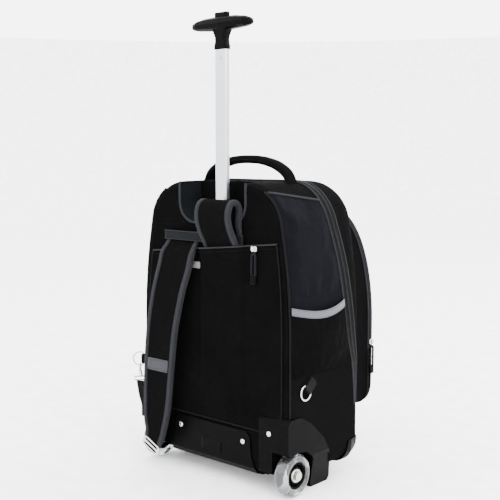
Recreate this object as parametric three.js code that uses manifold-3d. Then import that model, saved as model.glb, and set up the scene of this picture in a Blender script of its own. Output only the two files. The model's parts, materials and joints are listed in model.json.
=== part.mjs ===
// A wheeled backpack standing on its two wheels and two feet, with its pull handle drawn out.
//
// The bag's own frame is in millimetres: X to the bag's right wheel, Y from the back panel to the front
// pocket, Z up from the floor. The finished group is moved so that its origin is under the middle of its box.

import * as THREE from 'three';
import { mergeVertices } from 'three/addons/utils/BufferGeometryUtils.js';
import Module from 'manifold-3d';

const wasm = await Module();
wasm.setup();

// Main bag
const bagWidth = 338;
const shoulderWidth = 299;
const shoulderHeight = 438;
const crownWidth = 150;
const bagTop = 499;
const bagBottom = 28;
const bagBack = 4;
const bagFront = 209;
const waistHeight = 240;
const baseCorner = 30;
const backRound = 14;
const frontRound = 45;
const clothWall = 2.2;
const gap = 0.3;

// Main zip and the seams between the panels
const joinTop = 114;
const joinBase = 182;
const zipBand = 22;
const zipEndHeight = 120;
const zipProud = 0.9;
const sideSeamBack = 486;
const sideSeamFront = 470;
const baseSeam = 46;

// Front pocket
const pocketWidth = 298;
const pocketTop = 452;
const pocketBase = 104;
const pocketCrown = 100;
const pocketShoulder = 250;
const pocketCorner = 35;
const pocketDepth = 61;
const pocketRound = 25;
const pocketWall = 1.8;
const pocketZipWidth = 12;
const pocketZipInset = 28;
const pocketZipEnd = 205;

// Back pocket
const backPocketBase = 102;
const backPocketMouth = 391;
const mouthSlope = 0.1;
const backPocketPuff = 4;
const strapPuff = 5;
const strapRoom = 4;
const strapRamp = 8;
const mouthFlare = 6;
const backPocketWall = 1.6;
const backPocketMargin = 3;
const plateX = -31;
const plateDrop = 27;
const plateWidth = 20;
const plateHeight = 11;
const plateThick = 1.2;

// Side pockets
const sidePocketBase = 196;
const sidePocketMouth = 308;
const sidePocketBack = 8;
const sidePocketDip = 10;
const sidePocketPuff = 9;
const sidePocketWall = 1.6;
const trimHeight = 12;
const trimWall = 1;

// Handle bay in the top of the back panel
const bayWidth = 150;
const bayFloor = 431;
const bayDepth = 56;
const bayCorner = 35;
const linerWall = 2;

// Pull handle
const tubeY = 30.3;
const tubeWidth = 25;
const tubeThick = 11;
const tubeWall = 1.2;
const tubeTop = 715;
const tubeLength = 400;
const collarWall = 2;
const outerTubeWall = 1.5;
const collarFlange = 6;
const collarHeight = 3;
const plugLength = 15;
const pinRadius = 2.2;
const pinDrop = 14;
const gripSpan = 131.2;
const gripDepth = 26;
const neckHeight = 29;
const gripHeight = 24;
const buttonWidth = 28;
const buttonDepth = 12;
const buttonProud = 7;
const buttonTravel = 4;

// Carry handle
const carrySpan = 211;
const carryHeight = 44;
const carryY = 96;
const carryWidth = 26;
const carryThick = 14;

// Shoulder straps
const strapThick = 8;
const strapWidth = 76;
const rightStrapX = 30;
const bandLow = 400;
const bandHigh = 416;
const bandLeft = -106;
const bandRight = 74;
const bandWall = 1.6;
const webWidth = 20;
const webThick = 2;
const buckleWidth = 42;
const buckleHeight = 18;
const buckleThick = 3;
const sewnThick = 4;
const strapStandOff = 33;
const reflectorLow = 175;
const reflectorHigh = 196;
const reflectorWall = 0.8;

// Rings and hook
const ringRadius = 12.4;
const wireRadius = 1.6;
const ringTabWidth = 18;
const ringTabLength = 24;
const ringTabThick = 6;
const ringHeight = 169.7;
const ringY = 38;
const hookRadius = 6.4;
const barrelRadius = 3.4;
const barrelLength = 12;

// Wheels and their housings
const wheelRadius = 35;
const wheelWidth = 24;
const wheelX = 153.8;
const wheelY = 27.1;
const tyreBore = 22;
const bearingRadius = 11;
const axleRadius = 4;
const axleHead = 7.5;
const runningGap = 0.3;
const wellGap = 5;
const housingInner = 109;
const housingOuter = 171;
const housingWall = 3;
const housingBack = -3;
const housingHigh = 131;
const footFront = 124;
const footDraft = 19;

// Kick plate, guards and fasteners
const plateTop = 96;
const plateTopWidth = 172;
const plateBaseWidth = 208;
const plateWall = 3;
const rivetRadius = 4.5;
const rivetProud = 2;
const plateRivetX = 72;
const plateRivetZ = 78.4;
const housingRivetX = 131;
const housingRivetZ = 104;
const guardTop = 64;
const guardWall = 2.5;
const guardLength = 62;

// Zip sliders and their cord loops
const sliderWidth = 12;
const sliderLength = 9;
const sliderThick = 3.5;
const pullerLength = 52;
const pullerWidth = 11;
const pullerThick = 4;

const group = new THREE.Group();

// Colours and finishes of the real pieces
const finish = (color, roughness, metalness = 0) => (
  new THREE.MeshStandardMaterial({ color, roughness, metalness })
);
const finishes = {
  blackCloth: finish(0x17181a, 0.9),
  sideCloth: finish(0x2b2e35, 0.85),
  slateWeb: finish(0x4a4e55, 0.85),
  mesh: finish(0x121314, 0.95),
  reflector: finish(0x9a9da2, 0.5),
  plastic: finish(0x202124, 0.55),
  aluminium: finish(0xc9ccd0, 0.3, 1),
  steel: finish(0xb8babd, 0.25, 1),
  clearTyre: finish(0xdfe3e6, 0.15),
  zipCloth: finish(0x101112, 0.8),
};

const v = (x, y, z) => new THREE.Vector3(x, y, z);
const smooth = (t) => THREE.MathUtils.smoothstep(t, 0, 1);
const radians = THREE.MathUtils.degToRad;

// Solids and meshes

function geometryFrom(points, faces) {
  const geometry = new THREE.BufferGeometry();
  const numbers = points.flatMap((p) => [p.x, p.y, p.z]);
  geometry.setAttribute('position', new THREE.Float32BufferAttribute(numbers, 3));
  let volume = 0;
  for (const [a, b, c] of faces) volume += points[a].dot(v(0, 0, 0).crossVectors(points[b], points[c]));
  geometry.setIndex(faces.flatMap(([a, b, c]) => (volume > 0 ? [a, b, c] : [a, c, b])));
  return geometry;
}

function solid(geometry) {
  const plain = geometry.clone();
  for (const name of Object.keys(plain.attributes)) {
    if (name !== 'position') plain.deleteAttribute(name);
  }
  const merged = mergeVertices(plain, 1e-4);
  return new wasm.Manifold(new wasm.Mesh({
    numProp: 3,
    vertProperties: Float32Array.from(merged.attributes.position.array),
    triVerts: Uint32Array.from(merged.index.array),
  }));
}

function geometryOf(body) {
  const mesh = body.getMesh();
  const geometry = new THREE.BufferGeometry();
  geometry.setAttribute('position', new THREE.BufferAttribute(Float32Array.from(mesh.vertProperties), 3));
  geometry.setIndex(Array.from(mesh.triVerts));
  return geometry;
}

function add(name, body, material) {
  const mesh = new THREE.Mesh(geometryOf(body), finishes[material].clone());
  mesh.name = name;
  group.add(mesh);
}

// A closed solid through rings of equally many points, with a fan on each end unless the rings close a loop.
function loft(rings, closed = false) {
  const count = rings[0].length;
  const points = rings.flat();
  const faces = [];
  const spans = closed ? rings.length : rings.length - 1;
  for (let r = 0; r < spans; r += 1) {
    for (let i = 0; i < count; i += 1) {
      const a = r * count + i;
      const b = r * count + ((i + 1) % count);
      const c = ((r + 1) % rings.length) * count + i;
      const d = ((r + 1) % rings.length) * count + ((i + 1) % count);
      faces.push([a, b, d], [a, d, c]);
    }
  }
  if (!closed) {
    for (const [start, last] of [[0, false], [(rings.length - 1) * count, true]]) {
      const centre = v(0, 0, 0);
      for (let i = 0; i < count; i += 1) centre.addScaledVector(points[start + i], 1 / count);
      const hub = points.push(centre) - 1;
      for (let i = 0; i < count; i += 1) {
        const here = start + i;
        const next = start + ((i + 1) % count);
        faces.push(last ? [hub, here, next] : [hub, next, here]);
      }
    }
  }
  return solid(geometryFrom(points, faces));
}

// A thin closed wall between an outer and an inner grid of points.
function wallBetween(rows, columns, outerAt, innerAt) {
  const points = [];
  for (const at of [outerAt, innerAt]) {
    for (let r = 0; r <= rows; r += 1) {
      for (let c = 0; c <= columns; c += 1) points.push(at(c / columns, r / rows));
    }
  }
  const line = columns + 1;
  const sheet = line * (rows + 1);
  const faces = [];
  for (let r = 0; r < rows; r += 1) {
    for (let c = 0; c < columns; c += 1) {
      const a = r * line + c;
      const d = a + line + 1;
      faces.push([a, a + 1, d], [a, d, a + line]);
      faces.push([a + sheet, d + sheet, a + 1 + sheet], [a + sheet, a + line + sheet, d + sheet]);
    }
  }
  const edge = [];
  for (let c = 0; c < columns; c += 1) edge.push(c);
  for (let r = 0; r < rows; r += 1) edge.push(r * line + columns);
  for (let c = columns; c > 0; c -= 1) edge.push(rows * line + c);
  for (let r = rows; r > 0; r -= 1) edge.push(r * line);
  edge.forEach((a, i) => {
    const b = edge[(i + 1) % edge.length];
    faces.push([a, a + sheet, b + sheet], [a, b + sheet, b]);
  });
  return solid(geometryFrom(points, faces));
}

const shapeOf = (corners) => new THREE.Shape(corners.map(([a, b]) => new THREE.Vector2(a, b)));

function roundedShape(width, height, radius, middleA = 0, middleB = 0) {
  const a = middleA - width / 2;
  const b = middleB - height / 2;
  const shape = new THREE.Shape();
  shape.moveTo(a + radius, b);
  shape.lineTo(a + width - radius, b);
  shape.absarc(a + width - radius, b + radius, radius, -Math.PI / 2, 0);
  shape.lineTo(a + width, b + height - radius);
  shape.absarc(a + width - radius, b + height - radius, radius, 0, Math.PI / 2);
  shape.lineTo(a + radius, b + height);
  shape.absarc(a + radius, b + height - radius, radius, Math.PI / 2, Math.PI);
  shape.lineTo(a, b + radius);
  shape.absarc(a + radius, b + radius, radius, Math.PI, 1.5 * Math.PI);
  return shape;
}

const alongX = new THREE.Matrix4().makeBasis(v(0, 1, 0), v(0, 0, 1), v(1, 0, 0));
const alongY = new THREE.Matrix4().makeBasis(v(1, 0, 0), v(0, 0, 1), v(0, -1, 0));

// The shape's points with its curves in `steps` parts and no point twice
function outlinePoints(shape, steps = 3) {
  const points = shape.getPoints(steps);
  return points.filter((point, i) => point.distanceTo(points[(i + 1) % points.length]) > 1e-4);
}

function extruded(shape, depth, steps) {
  const outline = new THREE.Shape(outlinePoints(shape, steps));
  return new THREE.ExtrudeGeometry(outline, { depth, bevelEnabled: false });
}

// Prisms: a side profile (Y, Z) along X, a front profile (X, Z) along Y and a plan (X, Y) along Z
const prismX = (shape, x0, x1, steps) => (
  solid(extruded(shape, x1 - x0, steps).applyMatrix4(alongX).translate(x0, 0, 0))
);
const prismY = (shape, y0, y1, steps) => (
  solid(extruded(shape, y1 - y0, steps).applyMatrix4(alongY).translate(0, y1, 0))
);
const prismZ = (shape, z0, z1, steps) => solid(extruded(shape, z1 - z0, steps).translate(0, 0, z0));

function block(x0, x1, y0, y1, z0, z1) {
  const box = new THREE.BoxGeometry(x1 - x0, y1 - y0, z1 - z0);
  return solid(box.translate((x0 + x1) / 2, (y0 + y1) / 2, (z0 + z1) / 2));
}

// A round bar between two points
function rod(from, to, radius, sides = 12) {
  const bar = new THREE.CylinderGeometry(radius, radius, from.distanceTo(to), sides);
  const turn = new THREE.Quaternion().setFromUnitVectors(v(0, 1, 0), to.clone().sub(from).normalize());
  const middle = from.clone().add(to).multiplyScalar(0.5);
  return solid(bar.applyQuaternion(turn).translate(middle.x, middle.y, middle.z));
}

// A solid turned about the X axis, from a closed profile of (radius, x)
function turnedX(profile, sides) {
  const lathe = new THREE.LatheGeometry(profile.map(([r, x]) => new THREE.Vector2(r, x)), sides);
  return solid(lathe.rotateZ(-Math.PI / 2));
}

const at = (body, x, y, z) => body.translate([x, y, z]);
const mirrored = (body) => body.mirror([1, 0, 0]);
const both = (name, body, material) => {
  add(`${name}_right`, body, material);
  add(`${name}_left`, mirrored(body), material);
};

// Main bag

// The bag's outline from the front, grown outwards by `out`: flat base, sides that lean in above the waist,
// wide round shoulders and a flat crown.
function bagOutline(out) {
  const half = bagWidth / 2 + out;
  const shoulder = shoulderWidth / 2 + out;
  const crown = crownWidth / 2;
  const top = bagTop + out;
  const base = bagBottom - out;
  const lean = shoulderHeight - waistHeight;
  const round = top - shoulderHeight;
  const path = new THREE.Path();
  path.moveTo(0, base);
  path.lineTo(half - baseCorner, base);
  path.quadraticCurveTo(half, base, half, base + baseCorner);
  path.lineTo(half, waistHeight);
  path.bezierCurveTo(
    half, waistHeight + 0.5 * lean,
    shoulder + 0.05 * lean, shoulderHeight - 0.27 * lean,
    shoulder, shoulderHeight,
  );
  path.bezierCurveTo(
    shoulder - 0.09 * round, shoulderHeight + 0.5 * round,
    crown + 0.7 * round, top,
    crown, top,
  );
  path.lineTo(0, top);
  return path.getPoints(5);
}

function mirroredRing(points, y) {
  const left = points.slice(1, -1).reverse();
  return [...points.map((p) => v(p.x, y, p.y)), ...left.map((p) => v(-p.x, y, p.y))];
}

const backTurns = [15, 50, 90].map(radians);
const frontTurns = [0, 30, 60, 87].map(radians);

// The filled bag, grown outwards by `out`, with its round back and front edges
function bagSolid(out) {
  const rings = [];
  for (const turn of backTurns) {
    const radius = backRound + out;
    rings.push(mirroredRing(bagOutline(radius * Math.sin(turn) - backRound),
      bagBack + backRound - radius * Math.cos(turn)));
  }
  for (const turn of frontTurns) {
    const radius = frontRound + out;
    rings.push(mirroredRing(bagOutline(radius * Math.cos(turn) - frontRound),
      bagFront - frontRound + radius * Math.sin(turn)));
  }
  return loft(rings);
}

// Half the bag's width at a height
function sideAt(z) {
  const points = bagOutline(0);
  for (let i = 1; i < points.length; i += 1) {
    const [a, b] = [points[i - 1], points[i]];
    if (b.y > a.y && z >= a.y && z <= b.y) return a.x + ((b.x - a.x) * (z - a.y)) / (b.y - a.y);
  }
  return crownWidth / 2;
}

// The side's lean on the front edge at a depth, and how far the edge has turned in there
function frontEdgeAt(y) {
  const depthAt = (turn) => bagFront - frontRound * (1 - Math.sin(turn));
  if (y <= depthAt(frontTurns[0])) return { lean: 0, inward: 0 };
  const next = frontTurns.findIndex((turn) => depthAt(turn) >= y);
  const before = frontTurns[next - 1];
  const lean = (before + frontTurns[next]) / 2;
  return { lean, inward: frontRound * (1 - Math.cos(before)) + (y - depthAt(before)) * Math.tan(lean) };
}

// The slanted seam where the rear of the bag meets the main zip, seen from the side.
// Columns: share of the height from base to top, share of the way back from joinBase to joinTop.
const joinShares = [
  [0, 0], [0.32, 0.2], [0.475, 0.47], [0.6, 0.6], [0.7, 0.69], [0.8, 0.81], [0.885, 0.93],
  [0.94, 0.985], [1, 1],
];

const joinLine = (forward) => joinShares.map(([rise, back]) => [
  joinBase + (joinTop - joinBase) * back + forward,
  bagBottom + (bagTop - bagBottom) * rise,
]);

const far = bagWidth;
const above = [joinTop, bagTop + far];
const below = [joinBase, bagBottom - far];

// Where that seam lies at a height
function joinAt(z) {
  const line = joinLine(0);
  const next = line.findIndex((point) => point[1] >= z);
  const [a, b] = [line[Math.max(next - 1, 0)], line[Math.max(next, 1)]];
  return a[0] + ((b[0] - a[0]) * (z - a[1])) / (b[1] - a[1]);
}

function behindJoin(forward) {
  const line = joinLine(forward);
  const rear = [[-far, above[1]], [-far, below[1]]];
  const ends = [[below[0] + forward, below[1]], [above[0] + forward, above[1]]];
  return prismX(shapeOf([...rear, ends[0], ...line, ends[1]]), -far, far);
}

const outside = bagSolid(0);
const inside = bagSolid(-clothWall);
const nearOutside = bagSolid(gap);
const cloth = outside.subtract(inside);

// The U-shaped bay: half width, floor height and depth grown by `out`
function bayShape(out) {
  const half = bayWidth / 2 + out;
  const floor = bayFloor - out;
  const corner = bayCorner + out;
  const shape = new THREE.Shape();
  shape.moveTo(-half, bagTop + far);
  shape.lineTo(-half, floor + corner);
  shape.absarc(-half + corner, floor + corner, corner, Math.PI, 1.5 * Math.PI);
  shape.lineTo(half - corner, floor);
  shape.absarc(half - corner, floor + corner, corner, 1.5 * Math.PI, 2 * Math.PI);
  shape.lineTo(half, bagTop + far);
  return shape;
}

const bayCut = prismY(bayShape(linerWall + gap), -far, bayDepth + linerWall + gap, 4);

// Wheel housing, right-hand side. Columns of the side profile: Y, Z
const housingProfile = [
  [housingBack, wheelRadius + 5], [footFront - 46, 0], [footFront - 2, 0], [footFront, 8],
  [footFront - 15, 52], [footFront - 36, 86], [footFront - 70, 117], [footFront - 96, housingHigh],
  [housingBack + 6, housingHigh], [housingBack, housingHigh - 6],
];

function housingOutline(out) {
  const [y0, y1] = [housingBack - out, footFront + out];
  const [z0, z1] = [-out, housingHigh + out];
  return shapeOf(housingProfile.map(([y, z]) => [
    y0 + ((y - housingBack) / (footFront - housingBack)) * (y1 - y0),
    z0 + (z / housingHigh) * (z1 - z0),
  ]));
}

// The wheel's well: a round arch over the wheel, open to the back, the bottom and the outside
function wellShape(out) {
  const radius = wheelRadius + wellGap + out;
  const shape = new THREE.Shape();
  shape.moveTo(-far, -far);
  shape.lineTo(wheelY + radius + 9, -far);
  shape.lineTo(wheelY + radius + 9, 0);
  shape.lineTo(wheelY + radius, wheelRadius);
  shape.absarc(wheelY, wheelRadius, radius, 0, Math.PI / 2);
  shape.lineTo(-far, wheelRadius + radius);
  return shape;
}

const wellInner = wheelX - wheelWidth / 2 - wellGap;
const axleFrom = housingInner + housingWall;

// The corner that the bag's panels leave free for the housing and the wheel
function housingRoom() {
  const upper = housingProfile.slice(3);
  const across = [[-far, housingHigh - 6], [-far, -far], [footFront, -far]];
  const shape = shapeOf([...across, ...upper].map(([y, z]) => [y + gap * Math.sign(y - wheelY), z + gap]));
  return prismX(shape, housingInner - gap, far);
}

function wheelHousing() {
  // In front of the wheel the outer face leans in towards the foot, and the hollow behind it leans with it
  const draft = (out) => prismY(shapeOf([
    [housingOuter - out, guardTop], [housingOuter - footDraft - out, -1], [far, -1], [far, guardTop],
  ]), wheelY + wheelRadius, far);
  const cavity = prismX(housingOutline(-housingWall), housingInner - 1, housingOuter - housingWall)
    .subtract(draft(housingWall));
  const wellWalls = prismX(wellShape(housingWall), wellInner - housingWall, housingOuter)
    .intersect(prismX(housingOutline(0), housingInner, housingOuter));
  const well = prismX(wellShape(0), wellInner, far);
  const boss = rod(v(axleFrom, wheelY, wheelRadius), v(wellInner, wheelY, wheelRadius), axleRadius + 5);
  const bore = rod(v(housingInner - 1, wheelY, wheelRadius), v(far, wheelY, wheelRadius), axleRadius + gap);
  return prismX(housingOutline(0), housingInner, housingOuter)
    .subtract(cavity).add(wellWalls).subtract(well).add(boss).subtract(bore).subtract(draft(0));
}

const corners = housingRoom().add(mirrored(housingRoom()));
const panels = cloth.subtract(corners);

const seamDrop = sideSeamBack - sideSeamFront;
const seamHeight = (y) => sideSeamBack - (seamDrop * (y - bagBack)) / (joinTop - bagBack);
const aboveSeam = (up) => prismX(shapeOf([
  [-far, seamHeight(-far) + up], [far, seamHeight(far) + up],
  [far, bagTop + 2 * far], [-far, bagTop + 2 * far],
]), -far, far);
const belowBase = (up) => block(-far, far, -far, 2 * far, -far, baseSeam + up);
const backSlab = (out) => block(-far, far, -far, bagBack + clothWall + out, -far, bagTop + far);

function mainBag() {
  const rear = panels.intersect(behindJoin(-gap));
  const backPart = rear.intersect(backSlab(0)).subtract(bayCut);
  const others = rear.subtract(backSlab(gap));
  const top = others.intersect(aboveSeam(gap)).subtract(bayCut);
  const base = others.intersect(belowBase(0)).subtract(aboveSeam(0));
  const sides = others.subtract(aboveSeam(0)).subtract(belowBase(gap)).subtract(bayCut);
  const right = sides.intersect(block(1, far, -far, far, -far, 2 * far));
  add('back_panel', backPart, 'blackCloth');
  add('top_panel', top, 'blackCloth');
  add('base_panel', base, 'blackCloth');
  both('side_panel', right, 'sideCloth');

  const zipRegion = (out) => behindJoin(zipBand + out).subtract(behindJoin(-out))
    .intersect(block(-far, far, -far, far, zipEndHeight - out, 2 * far));
  const front = panels.subtract(behindJoin(0)).subtract(zipRegion(gap));
  add('front_panel', front, 'blackCloth');
  const tape = bagSolid(zipProud).subtract(inside).intersect(zipRegion(0));
  add('main_zipper', tape, 'zipCloth');
}

mainBag();

// Front pocket

const pocketFront = bagFront + pocketDepth;

function pocketOutline(out) {
  const half = pocketWidth / 2 + out;
  const top = pocketTop + out;
  const base = pocketBase - out;
  const rise = top - pocketShoulder;
  const path = new THREE.Path();
  path.moveTo(0, base);
  path.lineTo(half - pocketCorner, base);
  path.quadraticCurveTo(half, base, half, base + pocketCorner);
  path.lineTo(half, pocketShoulder);
  path.bezierCurveTo(
    half, pocketShoulder + 0.5 * rise,
    pocketCrown / 2 + 0.35 * rise, top,
    pocketCrown / 2, top,
  );
  path.lineTo(0, top);
  return path.getPoints(6);
}

function pocketSolid(out) {
  const rings = [mirroredRing(pocketOutline(out), bagFront - frontRound)];
  for (const degrees of [0, 30, 60, 85]) {
    const turn = radians(degrees);
    const radius = pocketRound + out;
    rings.push(mirroredRing(pocketOutline(radius * Math.cos(turn) - pocketRound),
      pocketFront - pocketRound + radius * Math.sin(turn)));
  }
  return loft(rings);
}

const beforeY = (y) => block(-far, far, -far, y, -far, 2 * far);
const pocketZipY = pocketFront - pocketZipInset;

function frontPocket() {
  const shell = pocketSolid(0).subtract(pocketSolid(-pocketWall)).subtract(nearOutside)
    .subtract(behindJoin(zipBand + gap));
  const zipRegion = (out) => beforeY(pocketZipY + pocketZipWidth + out).subtract(beforeY(pocketZipY - out))
    .intersect(block(-far, far, -far, 2 * far, pocketZipEnd - out, 2 * far));
  add('pocket_gusset', shell.intersect(beforeY(pocketZipY - gap)), 'blackCloth');
  add('pocket_front', shell.subtract(beforeY(pocketZipY)).subtract(zipRegion(gap)), 'blackCloth');
  const tape = pocketSolid(zipProud).subtract(pocketSolid(-pocketWall)).intersect(zipRegion(0));
  add('pocket_zipper', tape, 'zipCloth');
}

frontPocket();

// A zip's slider on the surface at `place`, and the cord loop that hangs from it. `out` points away from
// the cloth and `across` is level.
function frameOn(place, out, across) {
  const up = v(0, 0, 0).crossVectors(out, across);
  return new THREE.Matrix4().makeBasis(across, up, out).setPosition(place).elements;
}

function slider(place, out, across) {
  const top = gap + sliderThick;
  const body = prismZ(roundedShape(sliderWidth, sliderLength, 2.5), gap, top, 1);
  const bridge = prismZ(roundedShape(sliderWidth / 2 - 1, sliderLength - 1, 1.5), gap + 1, top + 3, 1);
  return body.add(bridge).transform(frameOn(place, out, across));
}

function puller(place, out, across) {
  const near = gap + sliderThick / 2;
  const top = -sliderLength / 2 - gap;
  const loop = roundedShape(pullerWidth, pullerLength, pullerWidth / 3, 0, top - pullerLength / 2);
  const slot = roundedShape(pullerWidth / 5, pullerLength / 2, 1, 0, top - 0.6 * pullerLength);
  return prismZ(loop, near, near + pullerThick, 1).subtract(prismZ(slot, 0, near + 2 * pullerThick, 1))
    .transform(frameOn(place, out, across));
}

function zipEnds() {
  const sideways = v(1, 0, 0);
  const onPocket = v(pocketWidth / 2 + zipProud, pocketZipY + pocketZipWidth / 2, pocketZipEnd + 12);
  add('pocket_zip_slider', slider(onPocket, sideways, v(0, 1, 0)), 'steel');
  add('pocket_zip_puller', puller(onPocket, sideways, v(0, 1, 0)), 'slateWeb');

  const height = (waistHeight + zipEndHeight) / 2;
  const depth = joinAt(height) + zipBand / 2;
  const { lean, inward } = frontEdgeAt(depth);
  const onBag = v(inward - sideAt(height) - zipProud, depth, height);
  const out = v(-Math.cos(lean), Math.sin(lean), 0);
  const across = v(-Math.sin(lean), -Math.cos(lean), 0);
  add('main_zip_slider', slider(onBag, out, across), 'steel');
  add('main_zip_puller', puller(onBag, out, across), 'slateWeb');
}

zipEnds();

// Back pocket

const mouthHeight = (x) => backPocketMouth + mouthSlope * x;

// How far the pocket's cloth stands off the back panel: a low cushion, and a flat room for the tucked strap
function pocketStandOff(x, z, half) {
  const side = 1 - Math.pow(Math.abs(x) / half, 6);
  const rise = (z - backPocketBase) / (mouthHeight(x) - backPocketBase);
  const cushion = backPocketPuff * Math.max(side, 0) * smooth(rise * 8);
  const room = 1 - smooth((Math.abs(x - rightStrapX) - strapWidth / 2 - strapRoom) / strapRamp);
  return cushion + room * (strapPuff * smooth(rise * 2.4) + mouthFlare * smooth((rise - 0.9) * 10));
}

const pocketHalf = (z) => sideAt(z) - backRound - backPocketMargin;

// Where the columns of the pocket's cloth lie: at shares of its half width and the edges of the strap's room
function pocketColumns(half) {
  const flat = strapWidth / 2 + strapRoom;
  const room = [-flat - strapRamp, -flat, 0, flat, flat + strapRamp].map((x) => rightStrapX + x);
  return [-half, -0.92 * half, -0.6 * half, ...room, 0.75 * half, 0.93 * half, half];
}

function backPocket() {
  const place = (out) => (u, w) => {
    const half = pocketHalf(backPocketBase + w * (backPocketMouth - backPocketBase));
    const columns = pocketColumns(half);
    const x = columns[Math.round(u * (columns.length - 1))];
    const z = backPocketBase + w * (mouthHeight(x) - backPocketBase);
    return v(x, bagBack - gap - pocketStandOff(x, z, half) - out, z);
  };
  const spans = pocketColumns(bagWidth).length - 1;
  const cloth = wallBetween(7, spans, place(backPocketWall), place(0));
  add('back_pocket', cloth.subtract(corners), 'mesh');

  // The outer face of the pocket's cloth
  const face = (x, z) => bagBack - gap - backPocketWall - pocketStandOff(x, z, pocketHalf(z));
  const zipX = bandRight + 26;
  const zipZ = mouthHeight(zipX) - sliderLength / 2;
  const onLip = v(zipX, face(zipX, zipZ), zipZ);
  add('back_zip_slider', slider(onLip, v(0, -1, 0), v(1, 0, 0)), 'steel');
  add('back_zip_puller', puller(onLip, v(0, -1, 0), v(1, 0, 0)), 'slateWeb');
  const plateZ = mouthHeight(plateX) - plateDrop;
  const plateY = face(plateX, plateZ) - gap;
  const plate = roundedShape(plateWidth, plateHeight, 1.5, plateX, plateZ);
  add('name_plate', prismY(plate, plateY - plateThick, plateY, 1), 'steel');
}

backPocket();

// Side pockets and their reflective trims, right-hand side

function sidePocket() {
  // Closer columns at the bag's round back edge
  const share = (u) => u ** 1.6;
  const mouth = (u) => sidePocketMouth - sidePocketDip * Math.sin(Math.PI * share(u));
  const place = (low, high, out) => (u, w) => {
    const z = low(u) + w * (high(u) - low(u));
    const y = sidePocketBack + share(u) * (joinAt(z) - 2 * gap - sidePocketBack);
    const rise = (z - sidePocketBase) / (mouth(u) - sidePocketBase);
    const puff = sidePocketPuff * Math.sin(Math.PI * share(u)) ** 0.7 * smooth(rise * 3);
    const edge = Math.max(backRound - (y - bagBack), 0);
    const drop = backRound - Math.sqrt(backRound * backRound - edge * edge);
    return v(sideAt(z) - drop + 2 * gap + puff + out, y, z);
  };
  const base = () => sidePocketBase;
  const trimLow = (u) => mouth(u) - trimHeight;
  const cloth = wallBetween(5, 9, place(base, mouth, sidePocketWall), place(base, mouth, 0));
  both('side_pocket', cloth.subtract(nearOutside), 'mesh');
  const inner = sidePocketWall + gap;
  const trim = wallBetween(1, 9, place(trimLow, mouth, inner + trimWall), place(trimLow, mouth, inner));
  both('pocket_trim', trim, 'reflector');
}

sidePocket();

// Handle bay and pull handle

const gripBase = tubeTop + neckHeight;
const gripTop = gripBase + gripHeight;

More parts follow.
